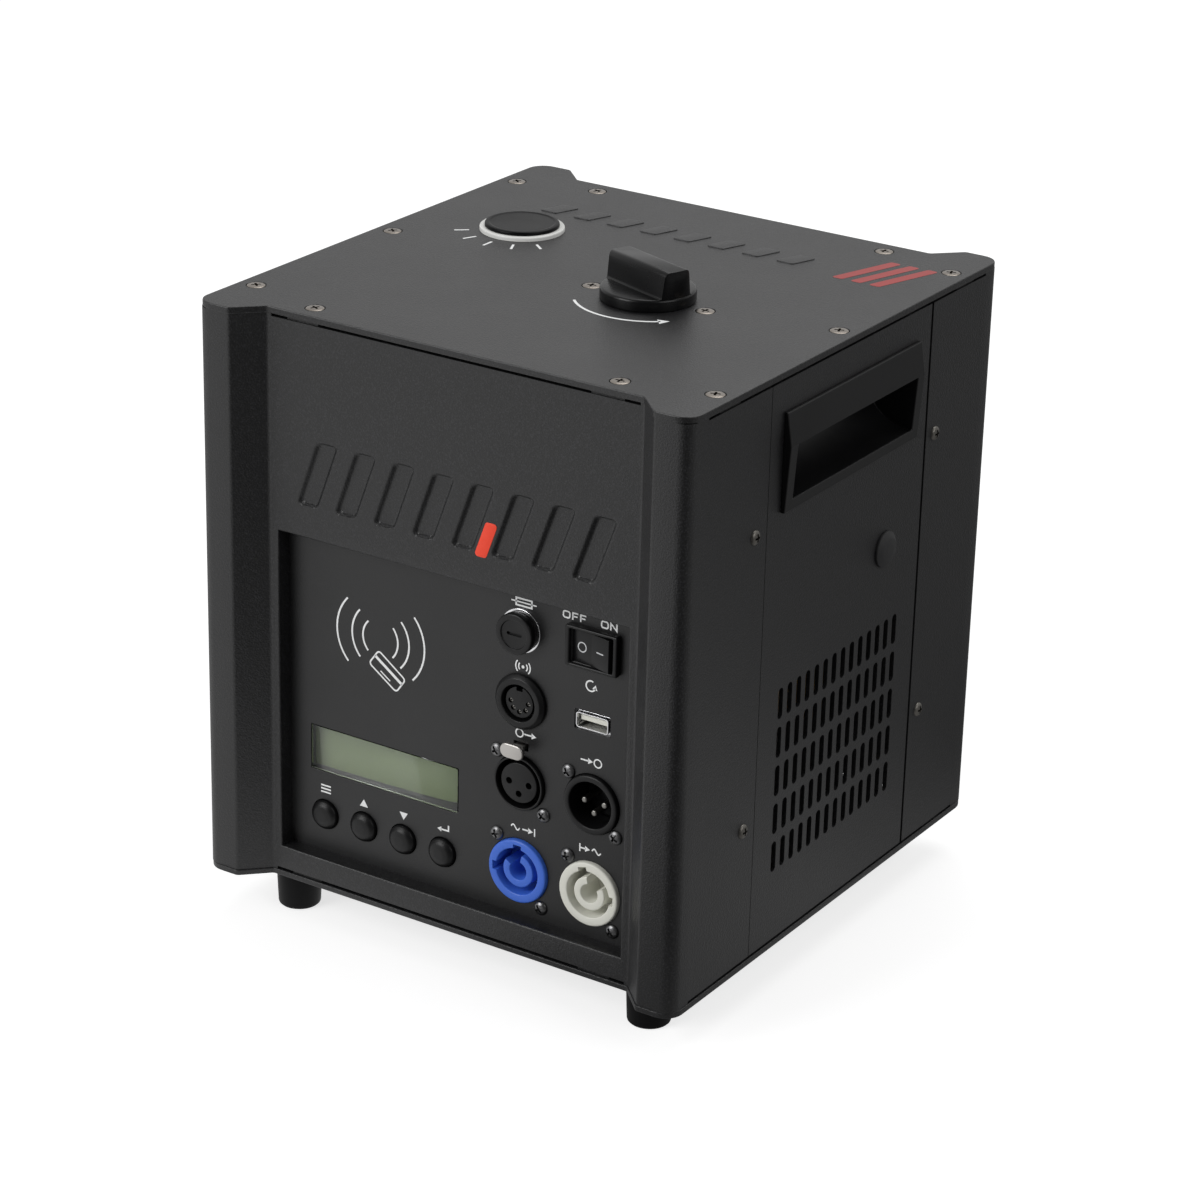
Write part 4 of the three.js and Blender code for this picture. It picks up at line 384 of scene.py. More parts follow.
def bar_height(x, z):
    """How far the face is pressed in at a place on it."""
    best = 0.0
    gap = (BAR_SPAN[1] - BAR_SPAN[0]) / (BAR_COUNT - 1)
    for k in range(BAR_COUNT):
        v = z - BAR_Z
        u = (x - BAR_SPAN[0] - k * gap - v * math.tan(BAR_SLANT)) * math.cos(BAR_SLANT)
        du = abs(u) - BAR_SIZE[0] / 2 + BAR_RADIUS
        dv = abs(v) - BAR_SIZE[1] / 2 + BAR_RADIUS
        away = math.hypot(max(du, 0), max(dv, 0)) + min(max(du, dv), 0) - BAR_RADIUS
        share = min(max(-away / BAR_RAMP + 0.5, 0), 1)
        best = max(best, share * share * (3 - 2 * share))
    return best * BAR_HEIGHT


def spaced(start, end, step):
    count = max(1, round(abs(end - start) / step))
    return [start + (end - start) * k / count for k in range(count + 1)]


def block(x, y, z):
    corners = [(x[i], y[j], z[k]) for i in (0, 1) for j in (0, 1) for k in (0, 1)]
    sides = [(0, 1, 3, 2), (4, 6, 7, 5), (0, 4, 5, 1), (2, 3, 7, 6), (0, 2, 6, 4), (1, 5, 7, 3)]
    return corners, sides


def shell(name, side, seam, opening):
    """One folded shell. Its side is -1 in front and 1 behind."""
    front = PLATE_HALF_DEPTH - SHELL_INSET
    edge_x = PLATE_HALF_WIDTH - SHELL_INSET
    foot = PLATE_HALF_WIDTH - EAR_FRONT - EAR_DEPTH + SHELL_INSET * (math.sqrt(2) - 1)
    relief_y = PLATE_HALF_DEPTH - EAR_RADIUS - 1.6
    relief_x = foot - 1.6
    corner = [
        (edge_x, seam), (edge_x, relief_y, 0), (edge_x, front, EAR_RADIUS - SHELL_INSET),
        (foot + EAR_DEPTH, front, BEND_RADIUS), (foot, front - EAR_DEPTH, BEND_RADIUS),
        (0, front - EAR_DEPTH)
    ]
    right = rounded(corner, closed=False, steps=5)[:-1]
    hole_x = OPENING[0] + OPENING_BEND
    inner = [relief_x, hole_x, 68.0]
    middle = spaced(68.0, -66.0, PRESS_STEP if opening else 20.0)
    face_x = inner[:2] + middle + [-hole_x, -relief_x]
    path = right + [(x, front - EAR_DEPTH) for x in face_x] + [(-x, y) for x, y in reversed(right)]
    low, high = SHELL_Z
    levels = [low, low + RELIEF]
    if opening:
        levels += [OPENING[1] - OPENING_BEND, 60.0, 90.0, 120.0, OPENING[2] + OPENING_BEND]
        levels += [160.0] + spaced(163.0, 193.0, PRESS_STEP)
    levels += [high - RELIEF, high]
    verts = []
    for z in levels:
        for x, y in path:
            on_face = opening and y == front - EAR_DEPTH and 162 < z < 195
            out = bar_height(x, z) if on_face and abs(x) < 70 else 0.0
            verts.append((x, side * (y + out), z))
    wide = len(path)

    def in_hole(i, j):
        x = (path[i][0] + path[i + 1][0]) / 2
        z = (levels[j] + levels[j + 1]) / 2
        at_face = path[i][1] == path[i + 1][1] == front - EAR_DEPTH
        return opening and at_face and abs(x) < hole_x and OPENING[1] - 1 < z < OPENING[2] + 1

    def relieved(i, j):
        if j not in (0, len(levels) - 2):
            return False
        x = (path[i][0] + path[i + 1][0]) / 2
        y = (path[i][1] + path[i + 1][1]) / 2
        return abs(x) < relief_x or (abs(x) > edge_x - 0.01 and y < relief_y)

    faces = []
    for j in range(len(levels) - 1):
        for i in range(wide - 1):
            if not in_hole(i, j) and not relieved(i, j):
                a = j * wide + i
                faces.append((a, a + 1, a + 1 + wide, a + wide))
    if opening:
        columns = [
            i for i, (x, y) in enumerate(path) if y == front - EAR_DEPTH and abs(x) <= hole_x + 1e-6
        ]
        rows = [j for j, z in enumerate(levels) if OPENING[1] - 1 < z < OPENING[2] + 1]
        first, last, bottom, top = columns[0], columns[-1], rows[0], rows[-1]
        loop = [(i, bottom) for i in range(first, last)] + [(last, j) for j in range(bottom, top)]
        loop += [(i, top) for i in range(last, first, -1)] + [(first, j) for j in range(top, bottom, -1)]
        rims = [[j * wide + i for i, j in loop]]
        turns = [math.pi / 2 * k / 3 for k in (1, 2, 3)]
        steps = [(OPENING_BEND * (1 - math.sin(a)), OPENING_BEND * (1 - math.cos(a))) for a in turns]
        for out, deep in steps + [(0.0, PANEL_Y - FACE_Y)]:
            rims.append([])
            for i, j in loop:
                x = min(max(path[i][0], -OPENING[0] - out), OPENING[0] + out)
                z = min(max(levels[j], OPENING[1] - out), OPENING[2] + out)
                rims[-1].append(len(verts))
                verts.append((x, FACE_Y + deep, z))
        for a, b in zip(rims, rims[1:]):
            faces += [(a[i - 1], a[i], b[i], b[i - 1]) for i in range(len(loop))]

    def thick(made):
        wall = made.modifiers.new("sheet", "SOLIDIFY")
        wall.thickness = SHEET * MM
        wall.offset = -1
        wall.use_even_offset = True

    mesh = meshed(name, [(verts, faces)])
    made = linked(name, mesh)
    bm = bmesh.new()
    bm.from_mesh(mesh)
    bmesh.ops.remove_doubles(bm, verts=bm.verts, dist=1e-6)
    loose = [v for v in bm.verts if not v.link_faces]
    bmesh.ops.delete(bm, geom=loose, context="VERTS")
    bmesh.ops.recalc_face_normals(bm, faces=bm.faces)
    probe = min(bm.faces, key=lambda f: side * -f.calc_center_median().y)
    if probe.normal.y * side < 0:
        bmesh.ops.reverse_faces(bm, faces=bm.faces)
    bm.to_mesh(mesh)
    bm.free()
    thick(made)
    plain(made)
    tabs = bmesh.new()
    tabs.from_mesh(made.data)
    for z in ((low, low + 2.0), (high - 2.0, high)):
        for across in (-1, 1):
            side_x = sorted((across * (SIDE_SCREW_X - 6.5), across * (edge_x - SHEET / 2)))
            side_y = sorted((side * (SIDE_SCREW_Y - 6.5), side * (SIDE_SCREW_Y + 6.5)))
            face_x = sorted((across * (FACE_SCREW[0] - 6.5), across * (FACE_SCREW[0] + 6.5)))
            face_y = sorted((side * (FACE_SCREW[1] - 6.5), side * (front - EAR_DEPTH - SHEET / 2)))
            for x, y in ((side_x, side_y), (face_x, face_y)):
                corners, sides = block(x, y, z)
                bm_verts = [tabs.verts.new([c * MM for c in v]) for v in corners]
                for face in sides:
                    tabs.faces.new([bm_verts[i] for i in face])
    tabs.to_mesh(made.data)
    tabs.free()
    return made


dressed(
    shell("front_shell_sheet", -1, FRONT_SEAM, True), powder_coat, "machine", ["front_shell"],
    40
)
dressed(
    shell("rear_shell_sheet", 1, REAR_SEAM, False), powder_coat, "machine", ["rear_shell"],
    40
)

# Red mark
# One short bar between the pressed ones is printed in red.
red_print = finish("red_print", (236, 62, 34), (245, 72, 42), (0.4, 0.5), 0.0006, 0.5, 0.00003)
RED_MARK = [(10.4, 164.4), (15.4, 164.4), (20.2, 177.6), (15.2, 177.6)]
piece(
    "front_mark_red", [plate("y", rounded(RED_MARK, 1.2), [], FACE_Y - 0.12, FACE_Y + 0.3, 0.05)],
    red_print
)

# Side panels
# Each side panel is a flat sheet between the shells, punched with a field of round-ended vents, a
# plug hole and the handle's cut-out. Joggled flanges along its edges lie behind the shells.
SIDE_X = 100.6
PANEL_HALF = 54.7
PANEL_Z = (21.0, 232.3)
JOGGLE = 1.7
FLANGE_REACH = 15.3
VENT_COLUMNS = 14
VENT_ROWS = 5
VENT_PITCH = (6.17, 14.72)
VENT_SIZE = (3.2, 11.7)
VENT_CENTRE = (-0.2, 83.5)
PLUG_PLACE = (29.2, 147.6)
PLUG_HOLE = 5.9
HANDLE_CUT = (43.7, 187.1, 219.5)


def geometry_tree(name, inputs):
    """An empty Geometry Nodes tree that passes geometry on and has named inputs."""
    tree = bpy.data.node_groups.new(name, "GeometryNodeTree")
    tree.interface.new_socket("Geometry", in_out="OUTPUT", socket_type="NodeSocketGeometry")
    tree.interface.new_socket("Geometry", in_out="INPUT", socket_type="NodeSocketGeometry")
    for label, kind in inputs:
        tree.interface.new_socket(label, in_out="INPUT", socket_type="NodeSocket" + kind)
    return tree, tree.nodes.new("NodeGroupInput").outputs, tree.nodes.new("NodeGroupOutput")


def ended(tree, out, material, *geometry):
    """Joins what the tree has made, realizes it, gives it its material and puts it out."""
    joined = add(tree, "GeometryNodeJoinGeometry")
    feed(tree, joined.inputs[0], *geometry)
    real = add(tree, "GeometryNodeRealizeInstances", [(0, joined)])
    coated = add(tree, "GeometryNodeSetMaterial", [(0, real), ("Material", material)])
    feed(tree, out.inputs[0], coated)


def grown(name, tree, values, mesh=None):
    """An object made by a tree from its named values, as a plain mesh."""
    made = linked(name, mesh or bpy.data.meshes.new(name))
    nodes = made.modifiers.new("rule", "NODES")
    nodes.node_group = tree
    for item in tree.interface.items_tree:
        if item.item_type == "SOCKET" and item.in_out == "INPUT" and item.name in values:
            nodes[item.identifier] = values[item.name]
    plain(made)
    return made


def moved_to(tree, geometry, **sockets):
    return add(tree, "GeometryNodeTransform", [(0, geometry), *sockets.items()])


punched, taken, given = geometry_tree(
    "punched_panel",
    [
        ("Columns", "Int"), ("Rows", "Int"), ("Column Pitch", "Float"), ("Row Pitch", "Float"),
        ("Vent Width", "Float"), ("Vent Length", "Float"), ("Vent Centre", "Vector"),
        ("Plug Centre", "Vector"), ("Plug Radius", "Float"), ("Handle Width", "Float"),
        ("Handle Height", "Float"), ("Handle Centre", "Vector"), ("Panel Width", "Float"),
        ("Panel Height", "Float"), ("Panel Centre", "Vector"), ("Thickness", "Float"),
        ("Turn", "Rotation"), ("Place", "Vector"), ("Material", "Material")
    ]
)


def spread_over(tree, count, pitch):
    less = calc(tree, "SUBTRACT", count, 1.0)
    return calc(tree, "MULTIPLY", less, pitch)


half_width = calc(punched, "MULTIPLY", taken["Vent Width"], 0.499)
vent = add(
    punched, "GeometryNodeCurvePrimitiveQuadrilateral",
    [("Width", taken["Vent Width"]), ("Height", taken["Vent Length"])]
)
vent = add(
    punched, "GeometryNodeFilletCurve", [(0, vent), ("Radius", half_width), ("Count", 5)], mode="POLY"
)
field = add(
    punched, "GeometryNodeMeshGrid",
    [
        ("Size X", spread_over(punched, taken["Columns"], taken["Column Pitch"])),
        ("Size Y", spread_over(punched, taken["Rows"], taken["Row Pitch"])),
        ("Vertices X", taken["Columns"]), ("Vertices Y", taken["Rows"])
    ]
)
vents = add(
    punched, "GeometryNodeInstanceOnPoints",
    [("Points", moved_to(punched, field, Translation=taken["Vent Centre"])), ("Instance", vent)]
)
vents = add(punched, "GeometryNodeRealizeInstances", [(0, vents)])
plug = add(
    punched, "GeometryNodeCurvePrimitiveCircle", [("Resolution", 48), ("Radius", taken["Plug Radius"])]
)
cut_out = add(
    punched, "GeometryNodeCurvePrimitiveQuadrilateral",
    [("Width", taken["Handle Width"]), ("Height", taken["Handle Height"])]
)
rim = add(
    punched, "GeometryNodeCurvePrimitiveQuadrilateral",
    [("Width", taken["Panel Width"]), ("Height", taken["Panel Height"])]
)
curves = add(punched, "GeometryNodeJoinGeometry")
feed(
    punched, curves.inputs[0], vents, moved_to(punched, plug, Translation=taken["Plug Centre"]),
    moved_to(punched, cut_out, Translation=taken["Handle Centre"]),
    moved_to(punched, rim, Translation=taken["Panel Centre"])
)
flat = add(punched, "GeometryNodeFillCurve", [(0, curves)])
raised = add(
    punched, "GeometryNodeExtrudeMesh",
    [(0, flat), ("Offset Scale", taken["Thickness"]), ("Individual", False)]
)
back = add(punched, "GeometryNodeFlipFaces", [(0, flat)])
closed = add(punched, "GeometryNodeJoinGeometry")
feed(punched, closed.inputs[0], raised, back)
closed = add(punched, "GeometryNodeMergeByDistance", [(0, closed), ("Distance", 1e-5)])
stood = moved_to(punched, closed, Rotation=taken["Turn"], Translation=taken["Place"])
ended(punched, given, taken["Material"], stood, taken["Geometry"])

for side, name in ((1, "right"), (-1, "left")):
    strips = []
    for along in (-1, 1):
        edge = [
            (-0.1, PANEL_HALF - 0.1), (-JOGGLE, PANEL_HALF), (-JOGGLE, PANEL_HALF + FLANGE_REACH),
            (-JOGGLE - SHEET, PANEL_HALF + FLANGE_REACH), (-JOGGLE - SHEET, PANEL_HALF - SHEET),
            (-SHEET, PANEL_HALF - SHEET - JOGGLE), (-0.1, PANEL_HALF - SHEET - JOGGLE)
        ]
        strip = [(side * (SIDE_X + x), along * y) for x, y in edge]
        strips.append(plate("z", strip, [], *PANEL_Z, 0))
    flanges = meshed("flanges_" + name, strips)
    panel = grown(
        f"side_panel_{name}_sheet", punched,
        {
            "Columns": VENT_COLUMNS, "Rows": VENT_ROWS, "Column Pitch": VENT_PITCH[0] * MM,
            "Row Pitch": VENT_PITCH[1] * MM, "Vent Width": VENT_SIZE[0] * MM,
            "Vent Length": VENT_SIZE[1] * MM,
            "Vent Centre": (VENT_CENTRE[0] * MM, VENT_CENTRE[1] * MM, 0),
            "Plug Centre": (PLUG_PLACE[0] * MM, PLUG_PLACE[1] * MM, 0), "Plug Radius": PLUG_HOLE * MM,
            "Handle Width": 2 * HANDLE_CUT[0] * MM, "Handle Height": (HANDLE_CUT[2] - HANDLE_CUT[1]) * MM,
            "Handle Centre": (0, (HANDLE_CUT[2] + HANDLE_CUT[1]) / 2 * MM, 0),
            "Panel Width": 2 * PANEL_HALF * MM, "Panel Height": (PANEL_Z[1] - PANEL_Z[0]) * MM,
            "Panel Centre": (0, (PANEL_Z[1] + PANEL_Z[0]) / 2 * MM, 0), "Thickness": SHEET * MM,
            "Turn": (math.pi / 2, 0, side * math.pi / 2), "Place": (side * (SIDE_X - SHEET) * MM, 0, 0),
            "Material": powder_coat
        },
        flanges
    )
    face_out(panel.data)
    dressed(panel, powder_coat, "machine", [f"side_panel_{name}"], 30)

# Pocket handles
# Each side has a black moulded handle: a wedge-faced frame outside the panel, and a curved pocket
# behind it, with room for the fingers above and behind the lip.
HANDLE_HALF = 46.3
HANDLE_FRAME = [(0, 185.1), (1.6, 185.1), (3.2, 209.2), (1.3, 221.0), (0, 221.0)]
POCKET_HALF = 41.5
POCKET_WALL = 1.9
POCKET_CENTRE_Z = 206.8
POCKET_RADIUS = 17.5
POCKET_Z = (189.3, 209.2, 217.3)
HANDLE_EASE = 0.35

moulded_black = finish(
    "moulded_black", (10, 10, 11), (14, 14, 15), (0.34, 0.44), 0.0004, 0.3, 0.00002,
    Specular_IOR_Level=0.3
)


def arc(u, v, radius, start, end, steps=24):
    turns = [math.radians(start + (end - start) * k / steps) for k in range(steps + 1)]
    return [(u + radius * math.cos(a), v + radius * math.sin(a)) for a in turns]


def tool(parts):
    """A loose solid to cut or join with, removed after its use."""
    mesh = meshed("tool", parts)
    face_out(mesh)
    return linked("tool", mesh)


def worked(made, *steps, ease=0, limit=50):
    """Boolean steps, each (operation, parts), and then eased edges."""
    for operation, parts in steps:
        cutter = tool(parts)
        change = made.modifiers.new("change", "BOOLEAN")
        change.operation = operation
        change.solver = "EXACT"
        change.object = cutter
        plain(made)
        bpy.data.objects.remove(cutter)
    if ease:
        bm = bmesh.new()
        bm.from_mesh(made.data)
        bmesh.ops.remove_doubles(bm, verts=bm.verts, dist=2e-6)
        bmesh.ops.dissolve_limit(bm, angle_limit=math.radians(1), verts=bm.verts, edges=bm.edges)
        bm.to_mesh(made.data)
        bm.free()
        edges = made.modifiers.new("ease", "BEVEL")
        edges.width = ease * MM
        edges.segments = 2
        edges.limit_method = "ANGLE"
        edges.angle_limit = math.radians(limit)
        plain(made)


def to_side(part, side):
    """A part drawn for the right side's face, put on the right or turned to the left."""
    verts, faces = part
    return [(side * (SIDE_X + x), side * y, z) for x, y, z in verts], faces


for side, name in ((1, "right"), (-1, "left")):
    outer = arc(0, POCKET_CENTRE_Z, POCKET_RADIUS + POCKET_WALL, 270, 180)
    housing = [
        *outer, (-POCKET_RADIUS - POCKET_WALL, POCKET_Z[2] + POCKET_WALL),
        (0.5, POCKET_Z[2] + POCKET_WALL)
    ]
    housing.append((0.5, POCKET_Z[0] - POCKET_WALL))
    pocket = [(5.2, POCKET_Z[0]), *arc(0, POCKET_CENTRE_Z, POCKET_RADIUS, 270, 180)]
    pocket += [(-POCKET_RADIUS, POCKET_Z[2]), (-0.8, POCKET_Z[2]), (1.2, POCKET_Z[1]), (5.2, POCKET_Z[1])]
    frame_part = plate("y", HANDLE_FRAME, [], -HANDLE_HALF, HANDLE_HALF, 0)
    reach = POCKET_HALF + POCKET_WALL
    piece(
        f"side_handle_{name}_moulding", [to_side(frame_part, side)], moulded_black,
        instead=[f"side_handle_{name}"], sharp=10,
        work=lambda made, side=side: worked(
            made, ("UNION", [to_side(plate("y", housing, [], -reach, reach, 0), side)]),
            ("DIFFERENCE", [to_side(plate("y", pocket, [], -POCKET_HALF, POCKET_HALF, 0), side)]),
            ease=HANDLE_EASE, limit=25
        )
    )

# Blanking plugs
# A soft domed plug closes the cable hole in each side panel. Its shank grips the hole's edge.
PLUG_PROFILE = [
    (0, -1.5), (4.2, -1.5), (4.2, -4.5), (5.6, -4.5), (5.6, 0), (6.75, 0), (6.75, 0.9, 0.4),
    (4.6, 2.25, 2.0), (2.3, 2.62, 2.0), (0, 2.7)
]
soft_rubber = finish("soft_rubber", (24, 24, 25), (34, 34, 35), (0.6, 0.72), 0.0005, 0.3, 0.00002)


def turned(profile, axis, centre, around=64, sign=1, bend=0.0):
    """A profile of (radius, place along the axis, own bend), turned about an axis through a centre."""
    profile = rounded(profile, bend, closed=False)
    verts, rings = [], []
    for radius, along in profile:
        count = 1 if radius < 1e-6 else around
        rings.append(list(range(len(verts), len(verts) + count)))
        for k in range(count):
            a = 2 * math.pi * k / around
            flat = towards(axis, radius * math.cos(a), radius * math.sin(a), sign * along)
            verts.append(tuple(c + d for c, d in zip(centre, flat)))
    if profile[0] == profile[-1] and profile[0][0] > 0:
        rings[-1] = rings[0]
    faces = []
    for a, b in zip(rings, rings[1:]):
        for k in range(around):
            j = (k + 1) % around
            if len(a) == len(b) == 1:
                break
            if len(a) == 1:
                faces.append((a[0], b[k], b[j]))
            elif len(b) == 1:
                faces.append((a[k], a[j], b[0]))
            else:
                faces.append((a[k], a[j], b[j], b[k]))
    return verts, faces


for side, name in ((1, "right"), (-1, "left")):
    place = (side * SIDE_X, side * PLUG_PLACE[0], PLUG_PLACE[1])
    piece(
        f"hole_plug_{name}_rubber", [turned(PLUG_PROFILE, "x", place, 48, side, 0.2)], soft_rubber,
        instead=[f"hole_plug_{name}"]
    )

# Feet
# Four tapered rubber feet, each with a recess for the screw that holds it to the base plate.
FOOT_PLACE = (76.8, 81.1)
FOOT_PROFILE = [(3.6, 0), (7.8, 0, 1.2), (8.55, 17.8), (0, 17.8), (0, 6.0), (3.6, 6.0), (3.6, 0)]
foot_rubber = finish(
    "foot_rubber", (8, 8, 9), (11, 11, 12), (0.5, 0.6), 0.0005, 0.3, 0.00002, Specular_IOR_Level=0.12
)
for x_side, x_name in ((-1, "left"), (1, "right")):
    for y_side, y_name in ((-1, "front"), (1, "rear")):
        name = f"rubber_foot_{y_name}_{x_name}"
        place = (x_side * FOOT_PLACE[0], y_side * FOOT_PLACE[1], 0)
        piece(
            name + "_turned", [turned(FOOT_PROFILE, "z", place, 56)], foot_rubber, instead=[name],
        )

# Control panel
# A flat sheet closes the opening from behind. It is punched for the display, the buttons, the fuse
# holder, the switch and the connectors.
PANEL_BACK = 1.5
PANEL_HALF_WIDTH = 76.5
PANEL_LEVELS = (26.7, 156.6)
WINDOW = (-32.15, 70.05, 64.9, 17.7)
BUTTON_X = [-58.2, -40.9, -23.6, -6.3]
BUTTON_Z = 44.4
FUSE = (26.0, 138.4)
SWITCH = (55.9, 139.2)
RECEIVER = (26.5, 112.0)
USB = (55.6, 111.6)
SIGNAL_OUT = (26.5, 81.1)
SIGNAL_IN = (56.3, 81.2)
POWER_IN = (26.5, 46.95)
POWER_OUT = (56.3, 46.95)
LATCH_Z = 95.0

panel_coat = finish("panel_coat", (15, 15, 16), (19, 19, 20), (0.42, 0.5), 0.0005, 0.5, 0.00007)


def panel_plate(outline, holes, low, high, edge=0.3, steps=2):
    """A plate along the panel, its depths counted from the panel's face."""
    return plate("y", outline, holes, PANEL_Y + low, PANEL_Y + high, edge, steps)


def centre_of(place, deep=0.0):
    return (place[0], PANEL_Y + deep, place[1])


panel_holes = [box_outline(*WINDOW, 0.5)]
panel_holes += [circle(x, BUTTON_Z, 5.8) for x in BUTTON_X]
panel_holes += [circle(*FUSE, 6.5), circle(*RECEIVER, 8.3), circle(*SIGNAL_OUT, 10.35)]
panel_holes += [circle(*SIGNAL_IN, 11.25), circle(*POWER_IN, 12.25), circle(*POWER_OUT, 12.25)]
panel_holes += [box_outline(*SWITCH, 19.6, 13.6), box_outline(*USB, 14.5, 7.4, 0.4)]
panel_holes += [box_outline(SIGNAL_OUT[0], LATCH_Z, 6.0, 2.8)]
panel_outline = box_outline(
    0, sum(PANEL_LEVELS) / 2, 2 * PANEL_HALF_WIDTH, PANEL_LEVELS[1] - PANEL_LEVELS[0], 0
)
piece(
    "control_panel_sheet", [panel_plate(panel_outline, panel_holes, 0, PANEL_BACK, 0.12, 1)], panel_coat,
    instead=["control_panel"], sharp=20
)

# Display
# A clear window is glued behind the panel. The character display behind it is a grey-green liquid
# crystal cell of two lines of sixteen characters, deep in a dark metal frame on its board.
CELL_FRONT = 7.0
CELL = (-32.15, 70.05, 66.0, 18.6)
DISPLAY_FRAME = (71.2, 25.2)
DISPLAY_BOARD = (80.0, 36.0)
FRAME_DEEP = (2.8, 8.8)
BOARD_DEEP = (8.8, 10.4)
POST_RADIUS = 2.3
POST_INSET = 2.6
CHARACTER_PITCH = (3.55, 5.95)

window_glass = finish(
    "window_glass", (236, 240, 238), (242, 245, 243), (0.03, 0.06), 0.002, 0.2, 0.000002
)
shader = window_glass.node_tree.nodes["Principled BSDF"]
shader.inputs["Transmission Weight"].default_value = 1.0
shader.inputs["IOR"].default_value = 1.46


def lit_through(material):
    """Glass that lets the light of the lamps through to what lies behind it."""
    tree = material.node_tree
    out = next(n for n in tree.nodes if n.type == "OUTPUT_MATERIAL")
    path = add(tree, "ShaderNodeLightPath")
    clear = add(tree, "ShaderNodeBsdfTransparent")
    both = add(
        tree, "ShaderNodeMixShader",
        [(0, path.outputs["Is Shadow Ray"]), (1, tree.nodes["Principled BSDF"]), (2, clear)]
    )
    feed(tree, out.inputs["Surface"], both)


lit_through(window_glass)
pane = box_outline(WINDOW[0], WINDOW[1], WINDOW[2] - 0.6, WINDOW[3] - 0.6, 0.4)
flange = box_outline(WINDOW[0], WINDOW[1], WINDOW[2] + 4, WINDOW[3] + 4, 1.0)
piece(
    "display_window_pane", [panel_plate(pane, [], 0.05, PANEL_BACK + 0.4, 0.15)], window_glass,
    instead=["display_window"],
    work=lambda made: worked(
        made, ("UNION", [panel_plate(flange, [], PANEL_BACK, PANEL_BACK + 1.0, 0.1)])
    )
)
crystal = bpy.data.materials.new("liquid_crystal")
crystal.use_nodes = True
tree = crystal.node_tree
shader = tree.nodes["Principled BSDF"]
place = add(tree, "ShaderNodeTexCoord")
shifted = add(
    tree, "ShaderNodeMapping",
    [("Vector", place.outputs["Object"]), ("Location", (-CELL[0] * MM, 0, -CELL[1] * MM))]
)
axes = add(tree, "ShaderNodeSeparateXYZ", [(0, shifted)])
masks = []
for axis, pitch, share in ((0, CHARACTER_PITCH[0], 0.84), (2, CHARACTER_PITCH[1], 0.86)):
    turns = calc(tree, "DIVIDE", axes.outputs[axis], pitch * MM)
    part = calc(tree, "FRACT", turns)
    middle = calc(tree, "SUBTRACT", part, 0.5)
    away = calc(tree, "ABSOLUTE", middle)
    masks.append(calc(tree, "LESS_THAN", away, share / 2))
block_mask = calc(tree, "MULTIPLY", *masks)
texture = add(tree, "ShaderNodeGroup", node_tree=grain_group)
faint = calc(tree, "MULTIPLY", block_mask, texture.outputs["Cloud"])
colour = add(
    tree, "ShaderNodeMix", [(0, faint), (6, linear(100, 110, 80)), (7, linear(95, 105, 76))],
    data_type="RGBA"
)
feed(tree, shader.inputs["Base Color"], colour.outputs[2])
shader.inputs["Roughness"].default_value = 0.35
piece(
    "display_cell", [panel_plate(box_outline(*CELL), [], CELL_FRONT, FRAME_DEEP[1], 0.05, 1)], crystal,
    instead=["display_module"]
)
frame_metal = finish("frame_metal", (52, 50, 55), (62, 60, 65), (0.4, 0.5), 0.0005, 0.3, 0.00001)
piece(
    "display_frame_metal",
    [panel_plate(box_outline(*CELL[:2], *DISPLAY_FRAME, 0.8), [box_outline(*CELL)], *FRAME_DEEP, 0.15)],
    frame_metal, instead=["display_module"]
)

# Push buttons
# Four black caps with domed faces stand out of the panel and press the switches behind it.
BUTTON_PROFILE = [
    (0, -3.0), (2.0, -2.94, 4.0), (4.0, -2.5, 3.0), (5.5, -1.2, 1.2), (5.5, 4.0), (2.4, 4.0), (2.4, 9.45),
    (0, 9.45)
]
for name, x in zip(("menu", "up", "down", "enter"), BUTTON_X):
    piece(
        f"button_{name}_cap",
        [turned(rounded(BUTTON_PROFILE, 0.2, closed=False, steps=5), "y", (x, PANEL_Y, BUTTON_Z))],
        moulded_black, f"{name}_button", [f"button_{name}"], 60
    )

# Fuse holder
# A bright ring lies under the holder's black flange. The cap has a sunk face with a slot for a
# screwdriver, and carries the glass fuse.
RING_PROFILE = [(6.5, 0), (8.1, 0), (8.1, -0.8, 0.25), (6.5, -0.8), (6.5, 0)]
HOLDER_PROFILE = [
    (4.2, -1.8), (7.2, -1.8, 0.3), (7.2, -0.8), (6.2, -0.8), (6.2, 1.5), (8.6, 1.5), (8.6, 4.5),
    (6.2, 4.5), (6.2, 29.2), (0, 29.2), (0, 27.2), (4.2, 27.2), (4.2, -1.8)
]
CAP_PROFILE = [
    (0, -4.55), (5.2, -4.55, 0.1), (5.4, -5.0, 0.15), (7.5, -5.0, 0.6), (7.5, -2.1, 0.2), (3.8, -2.1),
    (3.8, 4.2), (2.9, 4.2), (2.9, 0.2), (0, 0.2)
]
bright_metal = finish(
    "bright_metal", (214, 214, 216), (232, 232, 234), (0.16, 0.26), 0.0006, 0.2, 0.000004, Metallic=1.0
)
piece(
    "fuse_ring_washer", [turned(RING_PROFILE, "y", centre_of(FUSE))], bright_metal, instead=["fuse_ring"],
)
piece(
    "fuse_holder_body", [turned(HOLDER_PROFILE, "y", centre_of(FUSE))], moulded_black,
    instead=["fuse_holder"]
)
slot_outline = box_outline(*FUSE, 6.2, 1.2, 0.6)
piece(
    "fuse_cap_knob", [turned(CAP_PROFILE, "y", centre_of(FUSE))], moulded_black, "fuse_carrier",
    ["fuse_cap"],
    work=lambda made: worked(made, ("DIFFERENCE", [panel_plate(slot_outline, [], -7.0, -3.7, 0)]))
)

